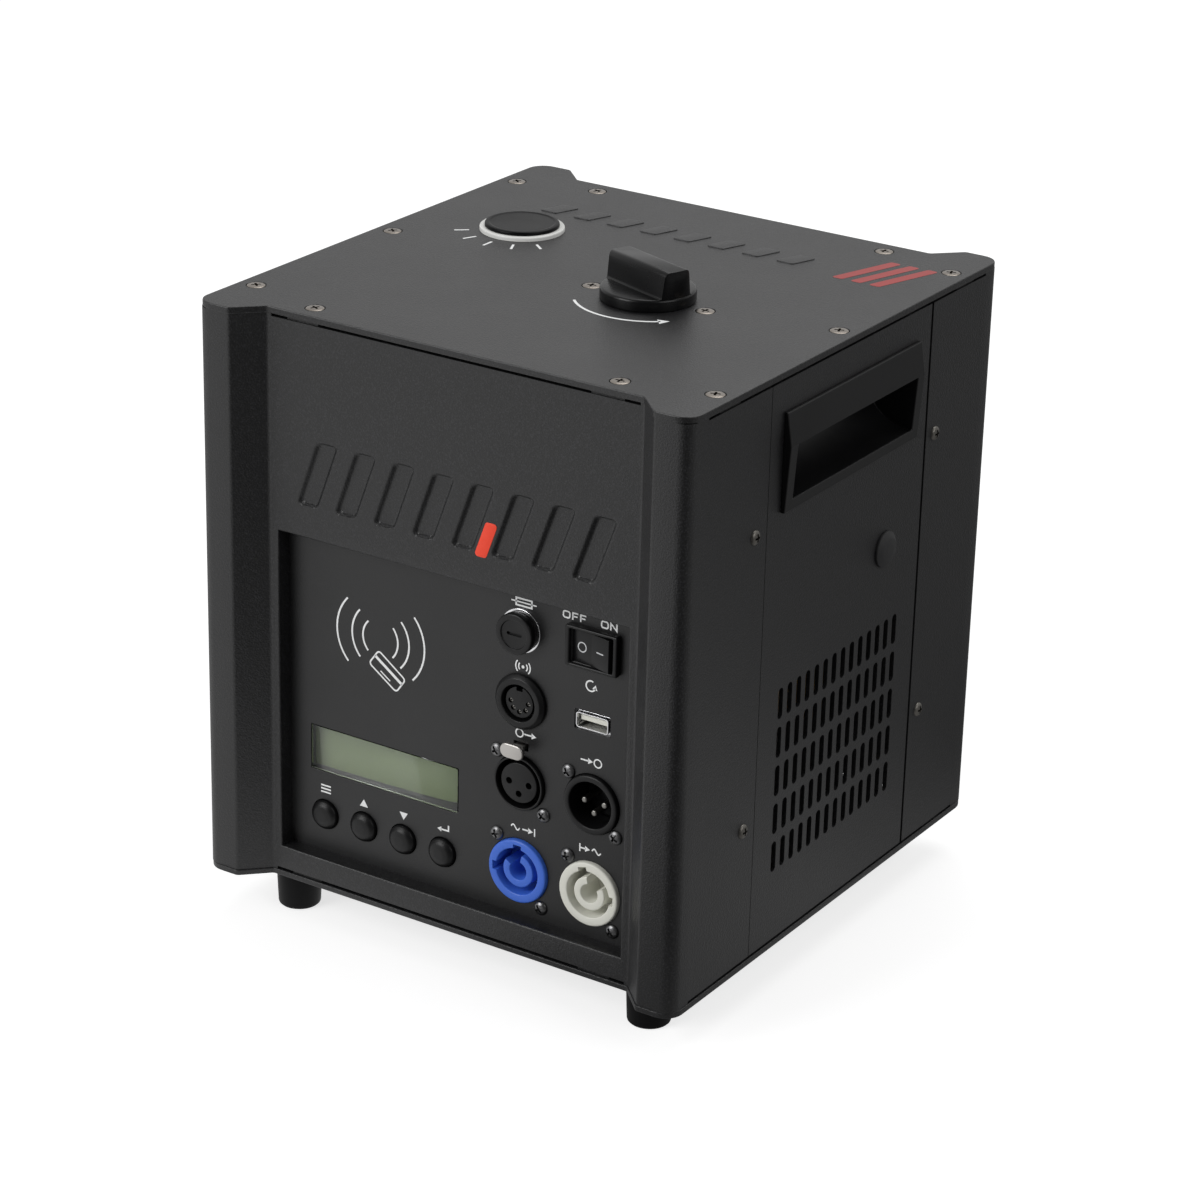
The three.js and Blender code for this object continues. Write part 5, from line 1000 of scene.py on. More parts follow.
# Power switch
# A rocker tilts in a black frame that clips into the panel. A ring on its left end marks off and a
# bar on its right end marks on.
ROCKER_RADIUS = 8.35
ROCKER_CORNER = 13.9
ROCKER_TILT = -9.0
ROCKER_HALF = 6.0
ROCKER_FACE = (-1.506, -2.006)
glossy_black = finish(
    "glossy_black", (9, 9, 10), (12, 12, 13), (0.24, 0.32), 0.0006, 0.2, 0.000008, Specular_IOR_Level=0.26
)
light_print = finish("light_print", (196, 198, 200), (214, 215, 216), (0.5, 0.6), 0.0005, 0.4, 0.00001)
well = box_outline(*SWITCH, 17.2, 12.5, 0.3)
piece(
    "switch_frame_moulding",
    [
        panel_plate(box_outline(*SWITCH, 21, 15, 0.7), [well], -2.8, 0, 0.6, 3),
        panel_plate(box_outline(*SWITCH, 19, 13, 0.3), [well], -0.6, 7.5, 0),
        panel_plate(box_outline(*SWITCH, 19, 13, 0.3), [], 7.3, 13, 0)
    ],
    moulded_black, instead=["switch_frame"]
)


def through(matrix, part):
    verts, faces = part
    return [tuple(matrix @ Vector(v)) for v in verts], faces


pivot = Matrix.Translation((SWITCH[0], PANEL_Y - 0.3, SWITCH[1]))
tilt = pivot @ Matrix.Rotation(math.radians(ROCKER_TILT), 4, "Z")
rocker = [(0, ROCKER_FACE[0], 6.0)] + arc(0, 0, ROCKER_RADIUS, -ROCKER_CORNER, 32, 10)
rocker += arc(0, 0, ROCKER_RADIUS, 148, 180 + ROCKER_CORNER, 10)
rocker[1] = (*rocker[1], 0.5)
rocker[-1] = (*rocker[-1], 0.5)
piece(
    "power_rocker_moulding",
    [
        through(tilt, plate("z", rounded(rocker, 0, steps=3), [], -ROCKER_HALF, ROCKER_HALF, 0.3)),
        through(tilt, turned([(0, -6.6), (1.2, -6.6), (1.2, 6.6), (0, 6.6)], "z", (0, 0, 0), 24))
    ],
    glossy_black, "rocker", ["power_rocker"], 24
)
slope = math.atan((ROCKER_FACE[0] - ROCKER_FACE[1]) / 8.1)
marks = []
for x, outline, holes in (
    (-4.0, circle(0, 0, 1.9, 32), [circle(0, 0, 1.5, 32)]), (4.0, box_outline(0, 0, 3.2, 0.42), [])
):
    side = 1 if x > 0 else -1
    level = ROCKER_FACE[0] + abs(x) / 8.1 * (ROCKER_FACE[1] - ROCKER_FACE[0])
    face = tilt @ Matrix.Translation((x, level, 0)) @ Matrix.Rotation(-side * slope, 4, "Z")
    marks.append(through(face, plate("y", outline, holes, -0.05, 0.2, 0)))
piece("rocker_marks", marks, light_print, "rocker")

# Receiver socket
# A five-pole round socket with a keyed insert is held by a ring nut behind the panel.
RECEIVER_PROFILE = [
    (0, -1.5), (5.7, -1.5, 0.2), (5.7, 3.5), (6.8, 3.5), (6.8, -2.5, 0.4), (8.9, -2.5, 0.6),
    (10.25, -1.2, 0.5), (10.25, 0), (8.0, 0), (8.0, 1.5), (10.0, 1.5), (10.0, 4.0), (8.0, 4.0),
    (8.0, 14.0), (0, 14.0)
]
receiver_holes = []
receiver_contacts = []
for turn in (180, 225, 270, 315, 0):
    x = RECEIVER[0] + 3.6 * math.cos(math.radians(turn))
    z = RECEIVER[1] + 3.6 * math.sin(math.radians(turn))
    middle = (x, PANEL_Y, z)
    receiver_holes.append(turned([(0, -4), (0.95, -4), (0.95, 2.5), (0, 2.5)], "y", middle, 20))
    receiver_contacts.append(
        turned([(0.3, -0.8), (0.7, -0.8), (0.7, 2.6), (0.3, 2.6), (0.3, -0.8)], "y", middle, 20)
    )
key = block(
    (RECEIVER[0] - 1.3, RECEIVER[0] + 1.3), (PANEL_Y - 3.0, PANEL_Y + 2.5),
    (RECEIVER[1] + 4.2, RECEIVER[1] + 6.3)
)
piece(
    "receiver_socket_body", [turned(RECEIVER_PROFILE, "y", centre_of(RECEIVER), 80)], moulded_black,
    instead=["receiver_socket"],
    work=lambda made: worked(made, ("DIFFERENCE", receiver_holes), ("DIFFERENCE", [key]))
)
contact_metal = finish(
    "contact_metal", (128, 126, 122), (146, 144, 140), (0.26, 0.36), 0.0005, 0.2, 0.000004, Metallic=1.0
)
piece("receiver_contacts", receiver_contacts, contact_metal)

# USB port
# A bright metal shell stands in the panel's cut-out, around a white tongue with four contacts.
white_moulding = finish(
    "white_moulding", (222, 222, 212), (231, 231, 221), (0.34, 0.44), 0.0006, 0.3, 0.00001
)
shell_outline = box_outline(*USB, 13.1, 5.7, 1.0)
piece(
    "usb_shell_folded",
    [
        panel_plate(shell_outline, [box_outline(*USB, 12.3, 4.9, 0.7)], -0.3, 14.2, 0.12),
        panel_plate(box_outline(*USB, 17.7, 10.6, 0.6), [box_outline(*USB, 12.6, 5.2)], 1.5, 2.0, 0.1)
    ],
    bright_metal, instead=["usb_shell"]
)
piece(
    "usb_tongue_moulding",
    [
        panel_plate(box_outline(USB[0], USB[1] + 0.55, 11.0, 1.9, 0.2), [], 1.2, 13.7, 0.2),
        panel_plate(box_outline(*USB, 12.0, 4.6, 0.2), [], 10.2, 14.2, 0.1)
    ],
    white_moulding, instead=["usb_tongue"]
)
contact_parts = [
    panel_plate(
        box_outline(USB[0] + x, USB[1] + 1.52, 1.1, 0.12), [], 2.2, 9.0, 0
    ) for x in (-3.5, -1.2, 1.2, 3.5)
]
piece("usb_contacts", contact_parts, bright_metal)

# Signal connectors
# The three-pole female socket passes the signal on and has a metal latch above it. The three-pole
# male one takes the signal in: a cup with three pins. Both have flanges behind the panel.
SIGNAL_OUT_PROFILE = [
    (0, -1.0), (7.55, -1.0, 0.4), (7.55, 9.4), (9.25, 9.4), (9.25, -1.6, 0.25), (10.1, -1.6, 0.35),
    (10.1, 22.0), (0, 22.0)
]
SIGNAL_IN_PROFILE = [
    (7.4, 18.0), (7.4, 12.0), (8.6, 12.0), (8.6, -1.6, 0.5), (11.0, -1.6, 0.7), (11.0, 18.0), (7.4, 18.0)
]
CONTACT_PLACES = [(4.1, 0), (-4.1, 0), (0, -4.1)]
socket_holes = [
    turned(
        [(0, -3), (1.25, -3), (1.25, 5), (0, 5)], "y", centre_of((SIGNAL_OUT[0] + x, SIGNAL_OUT[1] + z)),
        28
    ) for x, z in CONTACT_PLACES
]


def flange_part(place, hole, deep=(1.5, 3.5)):
    return panel_plate(box_outline(*place, 26, 31, 0.3, 1), [circle(*place, hole)], *deep, 0.1, 1)


latch_hole = panel_plate(box_outline(SIGNAL_OUT[0], LATCH_Z, 6.0, 2.8), [], 1.0, 4.0, 0)
piece(
    "signal_out_body", [turned(SIGNAL_OUT_PROFILE, "y", centre_of(SIGNAL_OUT), 80)], moulded_black,
    instead=["signal_out_socket"],
    work=lambda made: worked(
        made, ("DIFFERENCE", socket_holes), ("UNION", [flange_part(SIGNAL_OUT, 9.9)]),
        ("DIFFERENCE", [latch_hole])
    )
)
satin_steel = finish(
    "satin_steel", (168, 165, 161), (190, 187, 183), (0.3, 0.4), 0.0004, 0.3, 0.00001, Metallic=1.0
)
piece(
    "signal_out_latch_tab",
    [
        panel_plate(box_outline(SIGNAL_OUT[0], LATCH_Z, 9.6, 5.5, 2.7), [], -6.2, -4.4, 0.5, 3),
        panel_plate(box_outline(SIGNAL_OUT[0], LATCH_Z, 4.4, 1.6, 0.3), [], -5.0, 6.0, 0.1)
    ],
    satin_steel, "latch", ["signal_out_latch"]
)
piece(
    "signal_in_cup",
    [turned(SIGNAL_IN_PROFILE, "y", centre_of(SIGNAL_IN), 80), flange_part(SIGNAL_IN, 10.8)],
    moulded_black, instead=["signal_in_shell"]
)
carrier = [(0, 10.0), (8.3, 10.0, 0.3), (8.3, 12.0), (7.1, 12.0), (7.1, 18.0), (0, 18.0)]
pins = [(0, 1.0), (1.2, 1.0, 0.9), (1.2, 10.5), (0, 10.5)]
piece(
    "signal_in_carrier", [turned(carrier, "y", centre_of(SIGNAL_IN))], moulded_black,
    instead=["signal_in_insert"]
)
piece(
    "signal_in_pins",
    [turned(pins, "y", centre_of((SIGNAL_IN[0] + x, SIGNAL_IN[1] + z)), 24) for x, z in CONTACT_PLACES],
    contact_metal, instead=["signal_in_insert"]
)

# Power connectors
# Locking power connectors: blue where the mains comes in and white where it goes on. Each has a
# wide rim, a keyed groove and a broken inner ring around its contacts.
POWER_PROFILE = [
    (0, 10.4), (3.5, 10.4), (3.5, -0.8, 0.3), (6.25, -0.8, 0.4), (6.25, 10.4), (8.75, 10.4),
    (8.75, -1.6, 0.4), (12.0, -1.6, 0.7), (12.0, 1.5), (11.4, 1.5), (11.4, 26.0), (0, 26.0)
]
blue_moulding = finish(
    "blue_moulding", (58, 102, 204), (66, 112, 214), (0.34, 0.42), 0.0006, 0.3, 0.00001
)


def power_connector(name, node, place, notches, gap, colour):
    cutters = []
    for turn in notches:
        spin = Matrix.Translation(centre_of(place)) @ Matrix.Rotation(-math.radians(turn), 4, "Y")
        cutters.append(through(spin, block((7.25, 10.25), (-4.0, 10.4), (-1.7, 1.7))))
    first, last = gap[0] - gap[1] / 2, gap[0] + gap[1] / 2
    wedge = [(place[0], place[1])] + arc(*place, 7.5, first, last, 12)
    opening = panel_plate(wedge, [], -4.0, 10.4, 0)
    blades = [
        block(
            (place[0] - 2.4, place[0] + 2.4), (PANEL_Y + 25.5, PANEL_Y + 34.0),
            (place[1] + z - 0.4, place[1] + z + 0.4)
        ) for z in (-6.0, 0, 6.0)
    ]
    piece(
        name, [turned(POWER_PROFILE, "y", centre_of(place), 96)], colour, instead=[node],
        work=lambda made: worked(
            made, ("DIFFERENCE", cutters), ("DIFFERENCE", [opening]),
            ("UNION", [flange_part(place, 11.0)]), ("UNION", blades)
        )
    )


power_connector(
    "power_in_body", "power_inlet", POWER_IN, (90, 180), (112, 72), blue_moulding
)
power_connector(
    "power_out_body", "power_outlet", POWER_OUT, (105, 0), (66, 70), white_moulding
)

# Filler cap
# A black screw cap with a grip bar right across it closes the filler. A rubber seal lies under
# its disc, in the rim of the neck.
CAP_BASE = 235.8
DISC_PROFILE = [(0, 0), (17.0, 0, 0.5), (17.0, 4.5, 1.0), (0, 4.5)]
PLUG_TUBE = [(9.6, 0.5), (11.6, 0.5), (11.6, -8.0, 0.5), (9.6, -8.0), (9.6, 0.5)]
SEAL_PROFILE = [(11.9, -1.4), (14.5, -1.4, 0.4), (14.5, 0, 0.4), (11.9, 0), (11.9, -1.4)]
GRIP_TURN = -19.7
GRIP_HALF = 16.6
GRIP_SECTION = [
    (-7.6, 4.3), (-6.3, 4.6, 1.2), (-5.1, 14.0, 2.0), (5.1, 14.0, 2.0), (6.3, 4.6, 1.2), (7.6, 4.3)
]
cap_centre = (*FILLER, CAP_BASE)
grip_place = Matrix.Translation(cap_centre) @ Matrix.Rotation(math.radians(GRIP_TURN), 4, "Z")
grip_round = turned([(0, 3.0), (16.7, 3.0), (16.7, 20.0), (0, 20.0)], "z", cap_centre, 96)
piece(
    "filler_cap_disc",
    [turned(DISC_PROFILE, "z", cap_centre, 96), turned(PLUG_TUBE, "z", cap_centre, 64)], glossy_black,
    "cap", ["filler_cap"]
)
piece(
    "filler_cap_grip",
    [through(grip_place, plate("x", rounded(GRIP_SECTION, steps=5), [], -GRIP_HALF, GRIP_HALF, 0))],
    glossy_black, "cap", ["filler_cap"], 30,
    lambda made: worked(made, ("INTERSECT", [grip_round]), ease=0.9, limit=50)
)
piece(
    "filler_seal_ring", [turned(SEAL_PROFILE, "z", cap_centre)], soft_rubber, "cap_seal", ["filler_seal"],
)

# Spark outlet
# A white ceramic ring surrounds the outlet, and a black cap covers it while it isn't in use.
OUTLET_RING = [(11.3, 0), (15.7, 0), (15.7, 1.5, 0.5), (11.3, 1.5, 0.2), (11.3, 0)]
OUTLET_CAP = [
    (0, -6.5), (9.0, -6.5, 0.4), (9.0, 1.5), (13.8, 1.5, 0.2), (13.8, 2.9, 0.6), (12.4, 3.0, 0.5),
    (11.6, 2.75, 0.5), (0, 3.1)
]
cover_black = finish(
    "cover_black", (6, 6, 7), (9, 9, 10), (0.34, 0.44), 0.0006, 0.3, 0.00001, Specular_IOR_Level=0.12
)
ceramic = finish("white_ceramic", (216, 216, 213), (226, 226, 223), (0.4, 0.5), 0.0006, 0.3, 0.00001)
outlet_centre = (*OUTLET, CAP_BASE)
piece(
    "outlet_ring_ceramic", [turned(OUTLET_RING, "z", outlet_centre, 96)], ceramic,
    instead=["outlet_ring"]
)
piece(
    "outlet_cap_cover", [turned(OUTLET_CAP, "z", outlet_centre, 96)], cover_black, "spark_cap",
    ["outlet_cap"]
)

# Screws
# Bright countersunk screws hold the plates, pan heads hold the side panels, and blackened pan heads
# hold the connectors. All have cross recesses.
screws, taken, given = geometry_tree(
    "cross_screws",
    [
        ("Head Radius", "Float"), ("Head Height", "Float"), ("Cone Depth", "Float"),
        ("Recess Length", "Float"), ("Recess Width", "Float"), ("Recess Depth", "Float"),
        ("Material", "Material")
    ]
)
dome = add(
    screws, "GeometryNodeMeshUVSphere",
    [("Segments", 24), ("Rings", 12), ("Radius", taken["Head Radius"])]
)
flatness = calc(screws, "DIVIDE", taken["Head Height"], taken["Head Radius"])
squashed = add(screws, "ShaderNodeCombineXYZ", [(0, 1.0), (1, 1.0), (2, flatness)])
dome = moved_to(screws, dome, Scale=squashed)
shank_radius = calc(screws, "MULTIPLY", taken["Head Radius"], 0.5)
rim_radius = calc(screws, "MULTIPLY", taken["Head Radius"], 0.96)
cone = add(
    screws, "GeometryNodeMeshCone",
    [
        ("Vertices", 24), ("Radius Top", rim_radius), ("Radius Bottom", shank_radius),
        ("Depth", taken["Cone Depth"])
    ]
)
sunk = calc(screws, "MULTIPLY", taken["Cone Depth"], -1.0)
down = add(screws, "ShaderNodeCombineXYZ", [(2, sunk)])
cone = moved_to(screws, cone, Translation=down)
head = add(screws, "GeometryNodeMeshBoolean", operation="UNION", solver="MANIFOLD")
feed(screws, head.inputs["Mesh 2"], dome, cone)
recessed = add(
    screws, "GeometryNodeMeshBoolean", [("Mesh 1", head)], operation="DIFFERENCE", solver="MANIFOLD"
)
up = add(screws, "ShaderNodeCombineXYZ", [(2, taken["Head Height"])])
for *order, times in (("Recess Length", "Recess Width", 2.0), ("Recess Width", "Recess Length", 2.06)):
    deep = calc(screws, "MULTIPLY", taken["Recess Depth"], times)
    size = add(screws, "ShaderNodeCombineXYZ", [(0, taken[order[0]]), (1, taken[order[1]]), (2, deep)])
    arm = add(screws, "GeometryNodeMeshCube", [("Size", size)])
    feed(screws, recessed.inputs["Mesh 2"], moved_to(screws, arm, Translation=up))
turn = add(screws, "GeometryNodeInputNamedAttribute", [("Name", "turn")], data_type="FLOAT_VECTOR")
facing = add(screws, "FunctionNodeEulerToRotation", [(0, turn)])
placed = add(
    screws, "GeometryNodeInstanceOnPoints",
    [("Points", taken["Geometry"]), ("Instance", recessed), ("Rotation", facing)]
)
ended(screws, given, taken["Material"], placed)


SLIVER = 1.2e-5


def screw_set(name, places, size, finish):
    """Screws at (x, y, z) with the Euler turn that faces each one outwards."""
    mesh = meshed(name, [([place for place, _ in places], [])])
    turns = mesh.attributes.new("turn", "FLOAT_VECTOR", "POINT")
    for i, (_, turn) in enumerate(places):
        turns.data[i].vector = turn
    labels = ("Head Radius", "Head Height", "Cone Depth", "Recess Length", "Recess Width", "Recess Depth")
    values = {label: value * MM for label, value in zip(labels, size)}
    made = grown(name, screws, values | {"Material": finish}, mesh)
    face_out(made.data, SLIVER)
    dressed(made, finish, "machine", (), 28)


screw_steel = finish(
    "screw_steel", (122, 115, 108), (146, 139, 131), (0.26, 0.38), 0.0005, 0.3, 0.000008, Metallic=1.0
)
dull_steel = finish(
    "dull_steel", (96, 94, 90), (116, 113, 108), (0.34, 0.46), 0.0005, 0.3, 0.00001, Metallic=1.0
)
black_steel = finish(
    "black_steel", (104, 104, 105), (124, 124, 125), (0.28, 0.38), 0.0005, 0.3, 0.00001, Metallic=1.0
)
SPIN = 0.6
top_places = [((x, y, TOP_Z[1] - 0.15), (0, 0, SPIN + x)) for x, y in plate_screws + neck_screws]
base_places = [((x, y, BASE_Z[0] + 0.15), (math.pi, 0, SPIN + y)) for x, y in plate_screws]
side_places = [
    (
        (side * SIDE_X, y, z), (0, side * math.pi / 2, 0)
    ) for side in (1, -1) for y in (-62.5, 62.5) for z in (72.8, 181.5)
]
signal_places = [
    ((x + a * 9.9, PANEL_Y, z - a * 9.9), (math.pi / 2, SPIN * a, 0))
    for x, z in (SIGNAL_OUT, SIGNAL_IN) for a in (-1, 1)
]
power_places = [
    ((x + a * 9.5, PANEL_Y, z - a * 12.0), (math.pi / 2, SPIN * a + 0.3, 0))
    for x, z in (POWER_IN, POWER_OUT) for a in (-1, 1)
]
screw_set(
    "plate_screws", top_places + base_places, (3.3, 0.35, 2.0, 3.4, 0.85, 1.3), screw_steel
)
screw_set("side_screws", side_places, (2.7, 1.3, 1.4, 3.0, 0.8, 1.1), dull_steel)
screw_set(
    "connector_screws", signal_places + power_places, (2.75, 1.5, 3.4, 3.2, 0.85, 1.3), black_steel,
)

# Printed marks
# The panel and the top plate are screen printed in white: signs beside the buttons and the
# connectors, a card and its waves over the card reader, and arrows for the caps.
INK = 0.05
LINE = 0.66
white_print = finish("white_print", (236, 237, 237), (245, 246, 246), (0.5, 0.6), 0.0005, 0.4, 0.00001)


def stroke(path, width=LINE, closed=False):
    """A line of constant width as an outline and its holes."""
    if closed:
        path = path if area_of(path) > 0 else path[::-1]
        return inset(path, -width / 2), [inset(path, width / 2)]
    left, right = [], []
    for i, point in enumerate(path):
        here = Vector(point)
        came = here - Vector(path[i - 1]) if i else Vector(path[1]) - here
        goes = Vector(path[i + 1]) - here if i + 1 < len(path) else came
        side = Vector((-came.y, came.x)).normalized()
        mitre = (side + Vector((-goes.y, goes.x)).normalized()).normalized()
        reach = mitre * width / 2 / max(mitre.dot(side), 0.4)
        left.append(tuple(here + reach))
        right.append(tuple(here - reach))
    return left + right[::-1], []


def shifted_by(shape, u, v):
    outline, holes = shape
    return [(a + u, b + v) for a, b in outline], [[(a + u, b + v) for a, b in hole] for hole in holes]


def through_three(a, b, c, steps=20):
    """Points along the arc from a to c by way of b."""
    ax, ay, bx, by, cx, cy = *a, *b, *c
    d = 2 * (ax * (by - cy) + bx * (cy - ay) + cx * (ay - by))
    sums = [p * p + q * q for p, q in (a, b, c)]
    u = (sums[0] * (by - cy) + sums[1] * (cy - ay) + sums[2] * (ay - by)) / d
    v = (sums[0] * (cx - bx) + sums[1] * (ax - cx) + sums[2] * (bx - ax)) / d
    start, middle, end = (math.degrees(math.atan2(q - v, p - u)) for p, q in (a, b, c))
    sweep = (end - start) % 360
    if (middle - start) % 360 > sweep:
        sweep -= 360
    return arc(u, v, math.hypot(ax - u, ay - v), start, start + sweep, steps)


def head_at(u, v, turn, size=1.5):
    """A filled arrow head with its tip at (u, v)."""
    a = math.radians(turn)
    back, half = -1.3 * size, 0.75 * size
    points = [Matrix.Rotation(a, 2) @ Vector(p) for p in ((0, 0), (back, half), (back, -half))]
    return [(u + p.x, v + p.y) for p in points], []


signs = {
    "fuse": [stroke(box_outline(0, 0, 6.4, 2.6), closed=True), stroke([(-5.2, 0), (5.2, 0)], 0.5)],
    "receiver": [
        (circle(0, 0, 0.6, 20), []),
        *[stroke(arc(0, 0, r, s - 42, s + 42, 12), 0.5) for r in (1.8, 3.0) for s in (0, 180)]
    ],
    "update": [stroke(arc(0, 0, 1.9, 60, 350, 20), 0.55), head_at(1.95, 0.75, 80, 1.4)],
    "signal_out": [
        stroke(circle(-2.4, 0, 1.5, 28), 0.5, closed=True), stroke([(-0.4, 0), (3.0, 0)], 0.55),
        head_at(4.6, 0, 0, 1.5)
    ],
    "signal_in": [
        stroke(circle(2.4, 0, 1.5, 28), 0.5, closed=True), stroke([(-4.6, 0), (-1.4, 0)], 0.55),
        head_at(0.4, 0, 0, 1.5)
    ],
    "power_in": [
        stroke([(-4.6 + 0.3 * k, 0.9 * math.sin(k * math.pi / 6)) for k in range(13)], 0.5),
        stroke([(0.2, 0), (2.9, 0)], 0.55), head_at(4.6, 0, 0, 1.5),
        stroke([(5.3, -1.5), (5.3, 1.5)], 0.5)
    ],
    "power_out": [
        stroke([(1.2 + 0.3 * k, 0.9 * math.sin(k * math.pi / 6)) for k in range(13)], 0.5),
        stroke([(-3.8, -1.5), (-3.8, 1.5)], 0.5), stroke([(-3.6, 0), (-1.4, 0)], 0.55),
        head_at(0.3, 0, 0, 1.5)
    ],
    "menu": [stroke([(-2.2, z), (2.2, z)], 0.6) for z in (-1.3, 0, 1.3)],
    "up": [([(-1.8, -1.3), (1.8, -1.3), (0, 1.6)], [])],
    "down": [([(-1.8, 1.3), (1.8, 1.3), (0, -1.6)], [])],
    "enter": [stroke([(2.2, 1.7), (2.2, -0.4), (-1.2, -0.4)], 0.6), head_at(-2.6, -0.4, 180, 1.3)]
}
O_SHAPE = box_outline(0, 0, 2.6, 2.3, 0.7)
N_SHAPE = [(-1.2, -1.4), (-1.2, 1.15), (1.2, -1.15), (1.2, 1.4)]
F_STEM = [(1.3, 1.15), (-0.9, 1.15), (-0.9, -1.4)]
F_BAR = [(-0.9, -0.05), (1.0, -0.05)]
signs["off"] = [shifted_by(stroke(O_SHAPE, 0.55, True), -3.4, 0)]
for u in (0.0, 3.2):
    signs["off"] += [shifted_by(stroke(F_STEM, 0.55), u, 0), shifted_by(stroke(F_BAR, 0.5), u, 0)]
signs["on"] = [
    shifted_by(stroke(O_SHAPE, 0.55, True), -1.8, 0), shifted_by(stroke(N_SHAPE, 0.55), 1.8, 0)
]
sign_places = {
    "fuse": (26.8, 148.7), "receiver": (26.8, 124.9), "update": (54.6, 125.1),
    "signal_out": (28.2, 96.9 + 2.9), "signal_in": (55.8, 97.0), "power_in": (27.5, 63.3),
    "power_out": (55.5, 63.4), "menu": (-58.0, 54.5), "up": (-41.0, 53.6), "down": (-23.4, 53.7),
    "enter": (-6.0, 53.7), "off": (47.6, 148.9), "on": (61.4, 148.9)
}
card_corners = [(-34.4, 115.2), (-22.8, 106.8), (-26.8, 101.2), (-38.6, 109.4)]
waves = [
    ((-47.9, 132.0), (-52.6, 119.5), (-47.7, 107.8)), ((-42.6, 128.8), (-46.0, 120.1), (-42.5, 110.8)),
    ((-38.9, 125.4), (-41.2, 120.8), (-39.0, 114.1)), ((-28.2, 125.3), (-26.2, 120.9), (-28.4, 113.9)),
    ((-24.7, 128.5), (-21.4, 121.6), (-25.0, 110.8)), ((-19.1, 131.7), (-14.8, 122.3), (-19.7, 107.6))
]
printed = [shifted_by(shape, *sign_places[name]) for name in signs for shape in signs[name]]
printed += [stroke(through_three(*wave), 0.7) for wave in waves]
printed += [stroke(rounded(card_corners, 1.2), 0.6, closed=True)]
printed += [stroke([(-36.0, 112.9), (-24.3, 104.7)], 1.1)]
printed += [stroke([(-33.6, 107.6), (-29.4, 104.7)], 0.5)]
piece(
    "panel_print", [panel_plate(outline, holes, -INK, 0.1, 0) for outline, holes in printed], white_print,
)
turn_arc = arc(*FILLER, 26.0, 222, 312, 28)
tip = turn_arc[-1]
top_marks = [stroke(turn_arc, 1.0), head_at(tip[0] + 2.4, tip[1] + 2.0, 42, 3.0)]
for turn in (-50, -25, 0, 25, 50):
    a = math.radians(turn - 90)
    u, v = math.cos(a), math.sin(a)
    top_marks.append(
        stroke(
            [(OUTLET[0] + 19.5 * u, OUTLET[1] + 19.5 * v), (OUTLET[0] + 25 * u, OUTLET[1] + 25 * v)], 0.9
        )
    )
piece(
    "top_print",
    [plate("z", outline, holes, TOP_Z[1] - 0.1, TOP_Z[1] + INK, 0) for outline, holes in top_marks],
    white_print
)
dim_red = finish("dim_red", (150, 48, 46), (164, 56, 54), (0.45, 0.55), 0.0006, 0.5, 0.00003)
red_bars = []
for k in range(3):
    u = 62.0 + 7.5 * k
    bar = [(u, 50.0), (u + 4.4, 50.0), (u + 13.4, 78.0), (u + 9.0, 78.0)]
    red_bars.append(plate("z", rounded(bar, 1.0), [], TOP_Z[1] - 0.1, TOP_Z[1] + INK, 0))
piece("top_mark_red", red_bars, dim_red)
pressed = []
for k in range(8):
    u = -66.0 + 14.6 * k
    bar = [(u, 54.0), (u + 7.5, 54.0), (u + 11.5, 65.0), (u + 4.0, 65.0)]
    pressed.append(plate("z", rounded(bar, 1.2), [], TOP_Z[1] - 0.3, TOP_Z[1] + 0.35, 0.3, 3))
piece("top_pressed_bars", pressed, powder_coat)

# Inside
# The hopper, the feed screw, the heated tube, the blower, the fan and the boards keep the frame's
# shapes and get their finishes here. The induction coil is wound of copper tube.
COIL_TURNS = 6
COIL_PITCH = 4.6
COIL_RADIUS = 17.8
COIL_TUBE = 1.5
COIL_BOTTOM = 151.7
tube_steel = finish(
    "tube_steel", (150, 149, 147), (178, 177, 174), (0.3, 0.45), 0.0012, 0.2, 0.00001, Metallic=1.0
)
cast_grey = finish("cast_grey", (120, 121, 123), (140, 141, 142), (0.5, 0.65), 0.001, 0.6, 0.00008)
brass = finish("brass", (196, 164, 98), (214, 184, 118), (0.25, 0.38), 0.0008, 0.2, 0.00001, Metallic=1.0)
copper = finish(
    "copper", (196, 122, 88), (216, 142, 106), (0.2, 0.34), 0.0008, 0.2, 0.000008, Metallic=1.0
)
fuse_glass = finish("fuse_glass", (226, 232, 230), (236, 240, 238), (0.04, 0.08), 0.002, 0.2, 0.000002)
fuse_glass.node_tree.nodes["Principled BSDF"].inputs["Transmission Weight"].default_value = 0.9


def board_finish(name):
    """Green solder mask with tracks."""
    material = finish(name, (18, 70, 40), (24, 82, 48), (0.35, 0.45), 0.0008, 0.2, 0.00001)
    tree = material.node_tree
    shader = tree.nodes["Principled BSDF"]
    base = shader.inputs["Base Color"].links[0].from_socket
    place = add(tree, "ShaderNodeTexCoord")
    lines = add(
        tree, "ShaderNodeTexVoronoi",
        [("Vector", place.outputs["Object"]), ("Scale", 260.0), ("Randomness", 0.35)],
        distance="MANHATTAN"
    )
    track = calc(tree, "GREATER_THAN", lines.outputs["Distance"], 0.62)
    mixed = add(
        tree, "ShaderNodeMix", [(0, track), (6, base), (7, linear(40, 112, 66))], data_type="RGBA"
    )
    feed(tree, shader.inputs["Base Color"], mixed.outputs[2])
    return material


